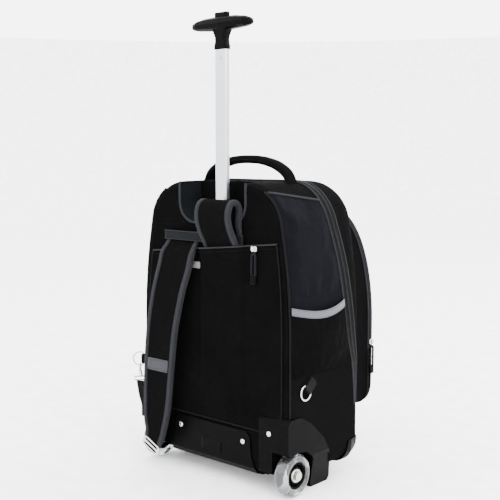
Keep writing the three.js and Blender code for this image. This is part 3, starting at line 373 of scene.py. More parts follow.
def creased(grid, fullness, wrinkle, seed, held=(True, True, True, True), size=0.05, freedom=None):
    """Pushes a sheet out between its sewn edges and adds soft folds. `held` names the sewn edges: first and
    last row, first and last column. `freedom` gives each point's share of the movement."""
    rows, columns = grid.shape[:2]
    v = np.linspace(0, 1, rows)[:, None]
    u = np.linspace(0, 1, columns)[None, :]
    weight = np.ones((rows, columns))
    for edge, share in zip(held, (v, 1 - v, u, 1 - u)):
        if edge:
            weight = weight * smoothstep(share * 5)
    if freedom is not None:
        weight = weight * freedom(grid)
    normals = grid_normals(grid)
    folds = np.zeros((rows, columns))
    for r in range(rows):
        for c in range(columns):
            x, y, z = grid[r, c]
            place = Vector((x, y, z * 0.6)) / size + Vector((seed * 7.3, seed * 3.1, seed * 1.7))
            folds[r, c] = sum(share * noise.noise(place * finer)
                              for share, finer in ((1, 1), (0.45, 2.3), (0.2, 5.1)))
    shaped = grid + normals * (weight * (fullness + wrinkle * folds))[..., None]
    if np.allclose(grid[:, 0], grid[:, -1]):
        shaped[:, -1] = shaped[:, 0]
    return shaped


def settled(made, edges, pressure, grow, reach, frames=14):
    """Lets a sheet take up its fullness as cloth between its sewn edges. No point moves beyond
    `reach`."""
    group = made.vertex_groups.new(name="sewn")
    group.add([int(i) for i in edges], 1.0, "REPLACE")
    cloth = made.modifiers.new("Cloth", "CLOTH")
    for name, value in (("quality", 6), ("mass", 0.25), ("tension_stiffness", 18),
                        ("compression_stiffness", 18), ("shear_stiffness", 9), ("bending_stiffness", 0.6),
                        ("vertex_group_mass", group.name), ("use_pressure", True),
                        ("uniform_pressure_force", pressure), ("shrink_min", -grow)):
        setattr(cloth.settings, name, value)
    cloth.settings.effector_weights.gravity = 0
    cloth.collision_settings.use_collision = False
    before = np.array([v.co for v in made.data.vertices])
    for number in range(1, frames + 1):
        bpy.context.scene.frame_set(number)
    result = made.evaluated_get(bpy.context.evaluated_depsgraph_get())
    move = np.array([v.co for v in result.to_mesh().vertices]) - before
    result.to_mesh_clear()
    length = np.linalg.norm(move, axis=1, keepdims=True)
    move *= np.minimum(1.0, reach / np.maximum(length, 1e-9))
    made.modifiers.remove(cloth)
    made.vertex_groups.remove(group)
    bpy.context.scene.frame_set(1)
    made.data.vertices.foreach_set("co", (before + move).ravel())
    made.data.update()
    return made


def sheet(made, grid, thick, finish_name, nodes=(), subdivide=1):
    dressed(thickened(made, thick, subdivide), finish_name, nodes=nodes)
    return made


# Finishes

class Finish:
    """A material's node tree with a short way to add and join nodes."""

    def __init__(self, name, color, roughness, **sockets):
        self.material = bpy.data.materials.new(name)
        self.material.use_nodes = True
        self.tree = self.material.node_tree
        self.shader = self.tree.nodes["Principled BSDF"]
        self.color = (*color, 1.0)
        self.shader.inputs["Base Color"].default_value = self.color
        self.shader.inputs["Roughness"].default_value = roughness
        for socket, value in sockets.items():
            self.shader.inputs[socket.replace("_", " ")].default_value = value

    def node(self, kind, inputs=None, **settings):
        made = self.tree.nodes.new("ShaderNode" + kind)
        for name, value in settings.items():
            setattr(made, name, value)
        for name, value in (inputs or {}).items():
            if isinstance(value, bpy.types.NodeSocket):
                self.tree.links.new(value, made.inputs[name])
            else:
                made.inputs[name].default_value = value
        return made

    def join(self, output, socket):
        self.tree.links.new(output, self.shader.inputs[socket])

    def place(self, kind="Object"):
        return self.node("TexCoord").outputs[kind]

    def noise(self, scale, detail=3.0, place=None):
        return self.node("TexNoise", {"Vector": place or self.place(), "Scale": scale, "Detail": detail,
                                      "Roughness": 0.55}).outputs["Fac"]

    def stretched_noise(self, scale, stretch):
        moved = self.node("Mapping", {"Vector": self.place(), "Scale": stretch}).outputs[0]
        return self.noise(scale, 2.0, moved)

    def wave(self, pitch, direction, distortion=0.0):
        """Threads or ribs of a pitch in metres: a wave of scale 1 is about 0.314 long."""
        return self.node("TexWave", {"Vector": self.place("UV"), "Scale": 0.314 / pitch,
                                     "Distortion": distortion, "Detail": 1.0},
                         bands_direction=direction).outputs["Fac"]

    def maths(self, operation, a, b):
        return self.node("Math", {0: a, 1: b}, operation=operation).outputs[0]

    def blend(self, a, a_share, b, b_share):
        """Adds shares of two patterns."""
        return self.maths("ADD", self.maths("MULTIPLY", a, a_share), self.maths("MULTIPLY", b, b_share))

    def ranged(self, value, low_end, high_end):
        return self.node("MapRange", {"Value": value, "To Min": low_end, "To Max": high_end}).outputs[0]

    def shades(self, value, darker, lighter):
        """Varies the base colour between two shades of it."""
        ends = [tuple(min(c * k, 1.0) for c in self.color[:3]) + (1.0,) for k in (darker, lighter)]
        mix = self.node("Mix", {0: value, 6: ends[0], 7: ends[1]}, data_type="RGBA")
        self.join(mix.outputs[2], "Base Color")

    def bumps(self, *layers):
        """Stacks bump layers of (height, strength, distance)."""
        normal = None
        for height, strength, distance in layers:
            inputs = {"Height": height, "Strength": strength, "Distance": distance}
            if normal is not None:
                inputs["Normal"] = normal
            normal = self.node("Bump", inputs).outputs[0]
        self.join(normal, "Normal")

    def rough(self, value, low_end, high_end):
        self.join(self.ranged(value, low_end, high_end), "Roughness")


def woven(name, color, pitch, roughness=0.85, sheen=0.001, twill=False, depth=0.5):
    """Woven cloth: crossing threads, slubs, a slow change of shade and a soft sheen."""
    made = Finish(name, color, roughness, Sheen_Weight=sheen, Sheen_Roughness=0.45, Specular_IOR_Level=0.005)
    warp = made.wave(pitch, "X")
    weft = made.wave(pitch, "Y")
    threads = made.wave(pitch * 1.6, "DIAGONAL") if twill else made.maths("MULTIPLY", warp, weft)
    slow = made.noise(9.0, 4.0)
    slub = made.stretched_noise(420.0, (1.0, 1.0, 0.15))
    made.shades(made.blend(slow, 0.75, threads, 0.25), 0.7, 1.35)
    made.rough(slub, roughness - 0.08, min(roughness + 0.1, 1.0))
    made.bumps((made.noise(30.0, 5.0), 0.25, 0.004), (slub, 0.2, 0.0006), (threads, depth, 0.0004))
    return made.material


def knitted(name, color, pitch, depth=0.8):
    """Open knitted mesh: rows of small round holes in a dull yarn."""
    made = Finish(name, color, 0.9, Sheen_Weight=0.002, Sheen_Roughness=0.5, Specular_IOR_Level=0.005)
    across = made.wave(pitch, "X")
    along = made.wave(pitch, "Y")
    holes = made.maths("MULTIPLY", across, along)
    made.shades(made.blend(holes, -0.6, made.noise(12.0, 3.0), 1.0), 0.45, 1.3)
    made.bumps((made.noise(24.0, 4.0), 0.25, 0.004), (holes, -depth, 0.0008))
    return made.material


def ribbed(name, color, pitch, roughness=0.75, direction="X"):
    """Ribbed webbing or binding tape."""
    made = Finish(name, color, roughness, Sheen_Weight=0.01, Sheen_Roughness=0.4, Specular_IOR_Level=0.04)
    ribs = made.wave(pitch, direction, distortion=0.4)
    threads = made.wave(pitch * 0.45, "DIAGONAL")
    made.shades(made.blend(ribs, 0.4, made.noise(40.0), 0.6), 0.75, 1.25)
    made.bumps((made.noise(60.0, 4.0), 0.2, 0.002), (threads, 0.25, 0.0003), (ribs, 0.6, 0.0005))
    return made.material


def moulded(name, color, roughness, grain=1400.0, depth=0.18, shine=0.02):
    """Moulded plastic: fine grain, faint flow marks and rubbed patches."""
    made = Finish(name, color, roughness, Specular_IOR_Level=shine)
    rubbed = made.noise(26.0, 6.0)
    made.shades(rubbed, 0.75, 1.35)
    made.rough(made.noise(55.0, 5.0), roughness - 0.1, roughness + 0.12)
    made.bumps((made.noise(18.0, 2.0), 0.08, 0.003), (made.noise(grain, 2.0), depth, 0.0003))
    return made.material


def drawn_metal(name, color, roughness, stretch):
    """Metal with fine lines along its drawing direction."""
    made = Finish(name, color, roughness, Metallic=1.0, Anisotropic=0.5)
    grain = made.stretched_noise(900.0, stretch)
    made.shades(made.noise(20.0, 4.0), 0.92, 1.03)
    made.rough(grain, roughness - 0.06, roughness + 0.1)
    made.bumps((grain, 0.05, 0.0002))
    return made.material


def plated(name, color, roughness, metallic=1.0):
    """Plated metal with small dents and rubbed spots."""
    made = Finish(name, color, roughness, Metallic=metallic)
    spots = made.noise(180.0, 4.0)
    made.shades(spots, 0.85, 1.05)
    made.rough(spots, roughness - 0.07, roughness + 0.12)
    made.bumps((made.noise(90.0, 3.0), 0.08, 0.0008))
    return made.material


def reflective(name, color):
    """Reflective tape: a smooth film over fine glass beads."""
    made = Finish(name, color, 0.42, Metallic=0.15, Specular_IOR_Level=0.1)
    beads = made.node("TexVoronoi", {"Vector": made.place(), "Scale": 2600.0}).outputs["Distance"]
    made.shades(made.noise(30.0, 5.0), 0.85, 1.12)
    made.rough(made.noise(70.0, 4.0), 0.32, 0.52)
    made.bumps((made.noise(50.0, 3.0), 0.15, 0.001), (beads, 0.25, 0.0002))
    return made.material


def clear_rubber(name, color, roughness):
    """Clear cast tyre with faint streaks and small moulding waves."""
    made = Finish(name, color, roughness, Transmission_Weight=0.96, IOR=1.42)
    made.rough(made.noise(40.0, 4.0), max(roughness - 0.04, 0.02), roughness + 0.08)
    made.bumps((made.noise(55.0, 2.0), 0.5, 0.003), (made.noise(240.0, 3.0), 0.3, 0.0006))
    return made.material


def color_of(name, description, default):
    return bpy.props.FloatVectorProperty(name=name, description=description, subtype="COLOR", default=default)


class BackpackColors(bpy.types.PropertyGroup):
    """Colours of the cloths, tapes, plastics and metals."""

    cloth: color_of("Body cloth", "Black cloth of the bag", (0.0019, 0.0019, 0.002))
    side: color_of("Side cloth", "Dark twill of the upper sides", (0.0023, 0.0024, 0.0033))
    mesh: color_of("Mesh", "Knitted mesh of the pockets", (0.0018, 0.0018, 0.0019))
    binding: color_of("Binding", "Slate binding and piping", (0.0105, 0.011, 0.013))
    lining: color_of("Lining", "Lining of the handle bay", (0.0034, 0.004, 0.0048))
    tape: color_of("Reflective tape", "Reflective trims", (0.056, 0.059, 0.069))
    # The strap tab's colour is the reflective tape's colour made darker as painted shade, because the tab
    # faces the key light
    tab: color_of("Strap tab", "Reflective tab of the strap, darkened as painted shade", (0.016, 0.0175, 0.02))
    zip_tape: color_of("Zip tape", "Tape of the zips", (0.0018, 0.0018, 0.002))
    coil: color_of("Zip coil", "Moulded coil of the zips", (0.006, 0.0062, 0.007))
    plastic: color_of("Plastic", "Moulded plastic of the base", (0.0006, 0.0006, 0.0006))
    grip: color_of("Grip", "Plastic of the pull handle's grip", (0.0008, 0.0008, 0.0008))
    aluminium: color_of("Aluminium", "Anodised tube", (0.42, 0.44, 0.47))
    steel: color_of("Steel", "Plated rings, sliders and rivets", (0.5, 0.49, 0.46))
    plate: color_of("Name plate", "Frosted metal of the bare plate", (0.16, 0.16, 0.155))
    tyre: color_of("Tyre", "Clear cast tyre", (0.34, 0.36, 0.38))
    floor: color_of("Floor", "Studio floor", (0.93, 0.93, 0.93))


@functools.lru_cache(maxsize=None)
def finish(name):
    """A finish of the bag by its plain name, made once."""
    colors = bpy.context.scene.backpack_colors
    makers = {
        "cloth": lambda: woven("body cloth", colors.cloth, 0.9 * MM),
        "padding": lambda: woven("padded cloth", colors.mesh, 0.8 * MM),
        "side": lambda: woven("side twill", colors.side, 0.7 * MM, 0.65, 0.008, twill=True, depth=0.35),
        "mesh": lambda: knitted("pocket mesh", colors.mesh, 2.2 * MM),
        "airmesh": lambda: knitted("back mesh", colors.mesh, 3.2 * MM, depth=1.0),
        "binding": lambda: ribbed("slate binding", colors.binding, 1.2 * MM),
        "dark_binding": lambda: ribbed("black binding", colors.cloth, 1.2 * MM),
        "webbing": lambda: ribbed("black webbing", colors.cloth, 1.6 * MM, direction="Y"),
        "slate_webbing": lambda: ribbed("slate webbing", colors.lining, 1.5 * MM),
        "lining": lambda: woven("bay lining", colors.lining, 0.6 * MM, 0.6, 0.01, depth=0.25),
        "tape": lambda: reflective("reflective tape", colors.tape),
        # The strap tab gets a darker copy of the reflective tape, as painted shade for the key light that
        # falls on it
        "tab": lambda: reflective("strap tab painted shade", colors.tab),
        "zip_tape": lambda: ribbed("zip tape", colors.zip_tape, 1.0 * MM),
        "coil": lambda: moulded("zip coil", colors.coil, 0.4),
        "thread": lambda: ribbed("thread", colors.cloth, 0.5 * MM, roughness=0.6),
        "pale_thread": lambda: ribbed("slate thread", colors.binding, 0.5 * MM, roughness=0.6),
        "plastic": lambda: moulded("moulded plastic", colors.plastic, 0.42),
        "grip": lambda: moulded("grip plastic", colors.grip, 0.36, grain=2200.0),
        "hub": lambda: moulded("hub plastic", colors.grip, 0.3),
        "aluminium": lambda: drawn_metal("anodised aluminium", colors.aluminium, 0.3, (1.0, 1.0, 0.01)),
        "steel": lambda: plated("plated steel", colors.steel, 0.22),
        "plate": lambda: plated("frosted plate", colors.plate, 0.5, metallic=0.5),
        "tyre": lambda: clear_rubber("clear tyre", colors.tyre, 0.08),
        "floor": lambda: moulded("studio floor", colors.floor, 0.7, grain=300.0, depth=0.02, shine=0.2),
    }
    return makers[name]()


def dressed(made, finish_name, body="bag", nodes=()):
    """Gives a piece its finish, its body and the pieces of the frame that it stands for. A piece of the frame
    itself keeps the body that it has."""
    made.data.materials.clear()
    made.data.materials.append(finish(finish_name))
    if "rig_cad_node" not in made:
        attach(made, body)
    if nodes:
        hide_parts(*nodes)
    return made


# The bag's own surface

@functools.lru_cache(maxsize=None)
def outline(tenths):
    """Right half of the bag's outline from the front, grown by tenths of a millimetre, and its lengths."""
    out = tenths * MM / 10
    half, top, base = HALF + out, TOP + out, BASE - out
    side, height = SHOULDER[0] + out, SHOULDER[1]
    lean, rounding = height - WAIST, top - height
    line = joined(
        bezier([(0, base), (half - BASE_CORNER, base)], 14),
        bezier([(half - BASE_CORNER, base), (half, base), (half, base + BASE_CORNER)], 14),
        bezier([(half, base + BASE_CORNER), (half, WAIST)], 18),
        bezier([(half, WAIST), (half, WAIST + 0.5 * lean), (side + 0.05 * lean, height - 0.27 * lean),
                (side, height)], 26),
        bezier([(side, height), (side - 0.09 * rounding, height + 0.5 * rounding),
                (CROWN + 0.7 * rounding, top), (CROWN, top)], 26),
        bezier([(CROWN, top), (0, top)], 12),
    )
    return line, path_lengths(line)


def inset(y, out=0.0):
    """How far the outline has grown or shrunk at a depth, on the bag's round back and front edges."""
    for middle, radius in ((BACK + BACK_ROUND, BACK_ROUND), (FRONT - FRONT_ROUND, FRONT_ROUND)):
        past = middle - y if radius == BACK_ROUND else y - middle
        if past > 0:
            return math.sqrt(max((radius + out) ** 2 - past * past, 0.0)) - radius
    return out


def crossing(line, lengths, height):
    """How far along the outline it passes a height."""
    after = int(np.argmax(line[:, 1] > height))
    if after == 0:
        return 0.0 if line[0, 1] > height else lengths[-1]
    a, b = line[after - 1], line[after]
    return lengths[after - 1] + (height - a[1]) / (b[1] - a[1]) * (lengths[after] - lengths[after - 1])


def seam_height(y):
    return SEAM_BACK + (SEAM_FRONT - SEAM_BACK) * (y - BACK) / (JOIN_TOP - BACK)


def on_bag(stretch, share, y, out=0.0):
    """A point of the bag's right half, a share of the way along a stretch of the outline."""
    line, lengths = outline(round(inset(y, out) / MM * 10))
    ends = {
        "base": lambda: (0.0, crossing(line, lengths, BASE_SEAM)),
        "side": lambda: (crossing(line, lengths, BASE_SEAM), crossing(line, lengths, seam_height(y))),
        "top": lambda: (crossing(line, lengths, seam_height(y)), lengths[-1]),
        "zip": lambda: (crossing(line, lengths, ZIP_END), lengths[-1]),
        "whole": lambda: (0.0, lengths[-1]),
    }[stretch]()
    at = ends[0] + share * (ends[1] - ends[0])
    return np.array([np.interp(at, lengths, line[:, 0]), y, np.interp(at, lengths, line[:, 1])])


JOIN_LINE = smooth_line(JOIN_SHARES, 200)


def join_at(z):
    """Depth of the slanted seam behind the main zip at a height."""
    back = np.interp((z - BASE) / (TOP - BASE), JOIN_LINE[:, 0], JOIN_LINE[:, 1])
    return float(JOIN_BASE + (JOIN_TOP - JOIN_BASE) * back)


FRONT_BEND = FRONT - FRONT_ROUND
BACK_BEND = BACK + BACK_ROUND


def bowed(y):
    """A depth measured along the bag's round edges."""
    if y > FRONT_BEND:
        return FRONT_BEND + FRONT_ROUND * math.asin(min((y - FRONT_BEND) / FRONT_ROUND, 1.0))
    if y < BACK_BEND:
        return BACK_BEND - BACK_ROUND * math.asin(min((BACK_BEND - y) / BACK_ROUND, 1.0))
    return y


def unbowed(d):
    """The depth at a distance along the bag's round edges."""
    if d > FRONT_BEND:
        return FRONT_BEND + FRONT_ROUND * math.sin(min((d - FRONT_BEND) / FRONT_ROUND, 1.55))
    if d < BACK_BEND:
        return BACK_BEND - BACK_ROUND * math.sin(min((BACK_BEND - d) / BACK_ROUND, 1.57))
    return d


MIDDLE_DEPTH = 0.13


def bag_patch(stretch, columns, rows, rear, fore, out=0.0, shares=None):
    """A grid on the bag's right half between two depths, which may depend on the height."""
    grid = np.zeros((rows + 1, columns + 1, 3))
    shares = np.linspace(0, 1, columns + 1) if shares is None else shares
    for c, share in enumerate(shares):
        ends = []
        for depth_of in (rear, fore):
            y = MIDDLE_DEPTH
            for _ in range(4):
                y = depth_of(on_bag(stretch, share, y, out)[2])
            ends.append(bowed(y))
        for r in range(rows + 1):
            y = unbowed(ends[0] + (ends[1] - ends[0]) * r / rows)
            grid[r, c] = on_bag(stretch, share, y, out)
    return grid


def with_mirror(grid):
    """A right-hand grid that ends on the middle plane, carried on to the left side."""
    left = grid[:, -2::-1] * MIRROR
    return np.concatenate([grid, left], axis=1)


def flipped(grid):
    """The left-hand twin of a right-hand grid."""
    return grid[:, ::-1] * MIRROR


# Columns: Y, Z of the wheel housing's upper edge
HOUSING_EDGE = np.array([(-30, 131), (28, 131), (54, 117), (88, 86), (109, 52), (124, 8), (126, -10)]) * MM
HOUSING_INNER = 109 * MM


def in_housing(p):
    """Whether a point lies in the corner that a wheel housing takes up."""
    edge = np.interp(p[1], HOUSING_EDGE[:, 0], HOUSING_EDGE[:, 1], right=-1.0)
    return abs(p[0]) > HOUSING_INNER and p[2] < edge


def piped(name, path, radius=1.5 * MM, finish_name="binding"):
    """A round piping cord along a seam."""
    return dressed(swept(name, path, round_section(radius, 10)), finish_name)


def both_sides(path):
    """A right-hand path that ends on the middle plane, carried on to the left side."""
    return np.vstack([path, path[-2::-1] * MIRROR])


def zip_on(name, rear_edge, fore_edge, outward, nodes, coil_width=5.5 * MM):
    """A zip between two edge lines: its tape, coil, stitches and the piping on each side."""
    across = np.linspace(0, 1, 9)[:, None, None]
    grid = rear_edge[None] * (1 - across) + fore_edge[None] * across
    lift = np.sin(np.linspace(0, math.pi, 9))[:, None, None] * 0.8 * MM
    tape = grid_object(name + "_tape", grid + lift * outward[None])
    dressed(thickened(tidied(tape), 1.2 * MM, 0), "zip_tape", nodes=nodes)
    coiled(name + "_coil", grid[4] + (0.8 * MM + 0.4 * MM) * outward, outward, coil_width)
    for side, share in (("rear", 0.2), ("fore", 0.8)):
        line = rear_edge * (1 - share) + fore_edge * share + 0.9 * MM * outward
        stitched(f"{name}_stitches_{side}", line, outward, "pale_thread")
    for side, edge in (("rear", rear_edge), ("fore", fore_edge)):
        piped(f"{name}_piping_{side}", edge + 0.6 * MM * outward)


def above_pocket(grid):
    """How freely the side cloth moves: not at all where the side pocket and the wheel housing lie on it."""
    return smoothstep((grid[..., 2] - SIDE_POCKET_MOUTH) / (45 * MM))


def sewn_points(grid, fixed):
    """The indices of a grid's border points and of the points that are fixed besides."""
    index = np.arange(fixed.size).reshape(grid.shape[:2])
    edges = np.concatenate([index[0], index[-1], index[:, 0], index[:, -1]])
    return np.union1d(edges, np.flatnonzero(fixed.ravel()))


def stitched(name, path, outward, finish_name="thread", length=2.6 * MM):
    """A row of stitches along a path on a surface that faces outward."""
    outward = np.broadcast_to(outward, np.shape(path))
    return dressed(rows_of(name, path, outward, length, 0.29 * MM, 1.45 * length), finish_name)


def coiled(name, path, outward, width):
    """The coil of a zip along a path."""
    outward = np.broadcast_to(outward, np.shape(path))
    return dressed(rows_of(name, path, outward, width, 0.75 * MM, 1.7 * MM, crosswise=True, flat=0.8), "coil")


class BACKPACK_OT_bag_panels(bpy.types.Operator):
    """Sews the main bag: sides, top, base, back and front, with the zip between them"""

    bl_idname = "backpack.bag_panels"
    bl_label = "Bag Panels"

    def execute(self, context):
        shape = context.scene.backpack_shape
        rear = lambda z: BACK + SEAM_OFF_BACK
        side = bag_patch("side", 64, 40, rear, join_at)
        for name, grid, seed in (("right", side, 1), ("left", flipped(side), 2)):
            grid = creased(grid, 1.8 * MM, 1.3 * shape.wrinkle, seed, size=0.07, freedom=above_pocket)
            panel = grid_object(f"side_cloth_{name}", grid)
            settled(panel, sewn_points(grid, above_pocket(grid) < 0.3), shape.pressure, 0.012, reach=3 * MM)
            sheet(cut_away(panel, in_housing), grid, CLOTH, "side", [f"side_panel_{name}"])
            panel.data.materials.append(finish("cloth"))
            for face in panel.data.polygons:
                face.material_index = int(face.center.z < SIDE_POCKET_BASE + 12 * MM)
        top = with_mirror(bag_patch("top", 26, 26, rear, join_at))
        keep = lambda p: abs(p[0]) < BAY_HALF + 2 * MM and p[1] < BAY_DEPTH + 1.5 * MM
        panel = cut_away(grid_object("top_cloth", creased(top, 0.6 * MM, 0.4 * shape.wrinkle, 3)), keep)
        sheet(panel, top, CLOTH, "cloth", ["top_panel"])
        base = with_mirror(bag_patch("base", 26, 24, rear, join_at, shares=np.linspace(1, 0, 27)))
        panel = cut_away(grid_object("base_cloth", base[:, ::-1]), in_housing)
        sheet(panel, base, CLOTH, "cloth", ["base_panel"])
        self.front(shape)
        self.back(shape)
        self.zip_and_piping()
        return {"FINISHED"}

    def front(self, shape):
        """The front panel, from the zip round the edge to a flat face behind the pocket."""
        start = lambda z: join_at(z) + ZIP_BAND * float(smoothstep((z - ZIP_END + ZIP_TAPER) / ZIP_TAPER))
        around = with_mirror(bag_patch("whole", 90, 26, start, lambda z: FRONT))
        rim = around[-1]
        height = np.clip(rim[:, 2], SPINE_LOW, SPINE_HIGH)
        spine = at_depth(0 * height, FRONT, height)
        grid = np.concatenate([around, rows_between(rim, spine, 10)], axis=0)
        grid = creased(grid, 0.8 * MM, shape.wrinkle, 4, held=(True, False, False, False), size=0.07)
        panel = tidied(grid_object("front_cloth", grid))
        sheet(cut_away(panel, in_housing), grid, CLOTH, "cloth", ["front_panel"])

    def back(self, shape):
        """The back panel round the handle bay: a lower field and a tower on each side of the bay."""
        rings = [unbowed(bowed(BACK + 2.4 * MM) - d) for d in np.linspace(0, 9 * MM, 6)]

        def edge(y, start, stop, shares):
            """The outline at a depth, from a height or the base's middle to a height or the bay."""
            line, lengths = outline(round(inset(y) / MM * 10))
            at_bay = (line[:, 1] > SHOULDER[1]) & (line[:, 0] < BAY_HALF + 2.4 * MM)
            begin = crossing(line, lengths, start) if start else 0.0
            end = crossing(line, lengths, stop) if stop else lengths[int(np.argmax(at_bay))]
            at = begin + shares * (end - begin)
            x, z = (np.interp(at, lengths, line[:, k]) for k in (0, 1))
            return at_depth(x, y, z)

        floor = BAY_FLOOR - 2 * MM
        shares = np.linspace(0, 1, 80)
        outer = [edge(y, None, floor, shares) for y in rings]
        spine = at_depth(0 * shares, BACK, np.linspace(BASE + 13 * MM, floor, 80))
        field = np.concatenate([outer, rows_between(outer[-1], spine, 18)], axis=0)
        field = np.concatenate([field, (field * MIRROR)[::-1][1:]], axis=0)
        shares = np.linspace(0, 1, 30)
        outer = [edge(y, floor, None, shares) for y in rings]
        corner = BAY_CORNER + 2 * MM
        turn = np.linspace(-math.pi / 2, 0, 20)
        inner = joined(
            at_depth(BAY_HALF - BAY_CORNER + corner * np.cos(turn), BACK,
                     BAY_FLOOR + BAY_CORNER + corner * np.sin(turn)),
            np.array([[BAY_HALF + 2 * MM, BACK, z] for z in (BAY_FLOOR + BAY_CORNER, TOP - 14 * MM)]),
        )
        inner = resampled(inner, 30)
        tower = np.concatenate([outer, rows_between(outer[-1], inner, 12)], axis=0)
        field, tower = field[:, ::-1], tower[:, ::-1]
        panel = grid_object("back_cloth", creased(field, 0.3 * MM, 0.25 * shape.wrinkle, 5))
        panel = tidied(cut_away(panel, in_housing))
        sheet(panel, field, CLOTH, "airmesh", ["back_panel"], subdivide=0)
        for name, grid in (("right", tower), ("left", flipped(tower))):
            sheet(tidied(grid_object(f"back_cloth_{name}", grid)), grid, CLOTH, "airmesh")

    def zip_and_piping(self):
        """The main zip over the top, and the piping along the back edge and the side's top edge."""
        count = 150
        rear_edge = bag_patch("zip", count, 1, join_at, join_at, out=0.3 * MM)[0]
        fore = lambda z: join_at(z) + ZIP_BAND
        fore_edge = bag_patch("zip", count, 1, fore, fore, out=0.3 * MM)[0]
        between = lambda z: join_at(z) + ZIP_BAND / 2
        outer = bag_patch("zip", count, 1, between, between, out=5 * MM)[0]
        outward = unit(outer - (rear_edge + fore_edge) / 2)
        rear_edge, fore_edge = both_sides(rear_edge), both_sides(fore_edge)
        outward = both_sides(outward)
        zip_on("main_zip", rear_edge, fore_edge, outward, ["main_zipper"])
        low_seam = bag_patch("whole", 200, 1, join_at, join_at, out=0.4 * MM)[0]
        low_seam = low_seam[low_seam[:, 2] < ZIP_END + 2 * MM]
        for name, side in SIDES.items():
            mirror = np.array([side, 1.0, 1.0])
            piped(f"low_seam_piping_{name}", low_seam[2:] * mirror, 1.3 * MM, "dark_binding")
            y = BACK + PIPING_OFF_BACK
            edge = np.array([on_bag("side", share, y, 0.8 * MM) for share in np.linspace(0.0, 1, 120)])
            edge = edge[edge[:, 2] > BACK_PIPING_BASE]
            piped(f"back_edge_piping_{name}", edge * mirror, 1.7 * MM, "dark_binding")
            seam = np.array([on_bag("side", 1.0, y, 0.9 * MM)
                             for y in np.linspace(BACK + 5 * MM, JOIN_TOP - 1 * MM, 50)])
            piped(f"top_seam_piping_{name}", seam * mirror, 1.9 * MM)


class BackpackShape(bpy.types.PropertyGroup):
    """Sizes that a user would change."""

    wrinkle: bpy.props.FloatProperty(name="Wrinkle depth", description="Depth of the cloth's soft folds",
                                     default=1.0 * MM, min=0, max=0.004, unit="LENGTH")
    pressure: bpy.props.FloatProperty(name="Fullness", description="How hard the filling pushes outwards",
                                      default=0.6, min=0, max=5)
    binding: bpy.props.FloatProperty(name="Binding width", description="Width of the straps' edge binding",
                                     default=9.5 * MM, min=0.002, max=0.02, unit="LENGTH")


# The front pocket

@functools.lru_cache(maxsize=None)
def pocket_outline(tenths):
    """Right half of the front pocket's outline, grown by tenths of a millimetre, and its lengths."""
    out = tenths * MM / 10
    half, top, base = POCKET_HALF + out, POCKET_TOP + out, POCKET_BASE - out
    rise = top - POCKET_SHOULDER
    line = joined(
        bezier([(0, base), (half - POCKET_CORNER, base)], 14),
        bezier([(half - POCKET_CORNER, base), (half, base), (half, base + POCKET_CORNER)], 16),
        bezier([(half, base + POCKET_CORNER), (half, POCKET_SHOULDER)], 16),
        bezier([(half, POCKET_SHOULDER), (half, POCKET_SHOULDER + 0.5 * rise),
                (POCKET_CROWN + 0.35 * rise, top), (POCKET_CROWN, top)], 50),
        bezier([(POCKET_CROWN, top), (0, top)], 10),
    )
    return line, path_lengths(line)


def on_pocket(share, y, out=0.0):
    """A point of the front pocket's right half, a share of the way round it from the middle of its base."""
    past = y - (POCKET_FRONT - POCKET_ROUND)
    if past > 0:
        out = math.sqrt(max((POCKET_ROUND + out) ** 2 - past * past, 0.0)) - POCKET_ROUND
    line, lengths = pocket_outline(round(out / MM * 10))
    at = share * lengths[-1]
    return np.array([np.interp(at, lengths, line[:, 0]), y, np.interp(at, lengths, line[:, 1])])


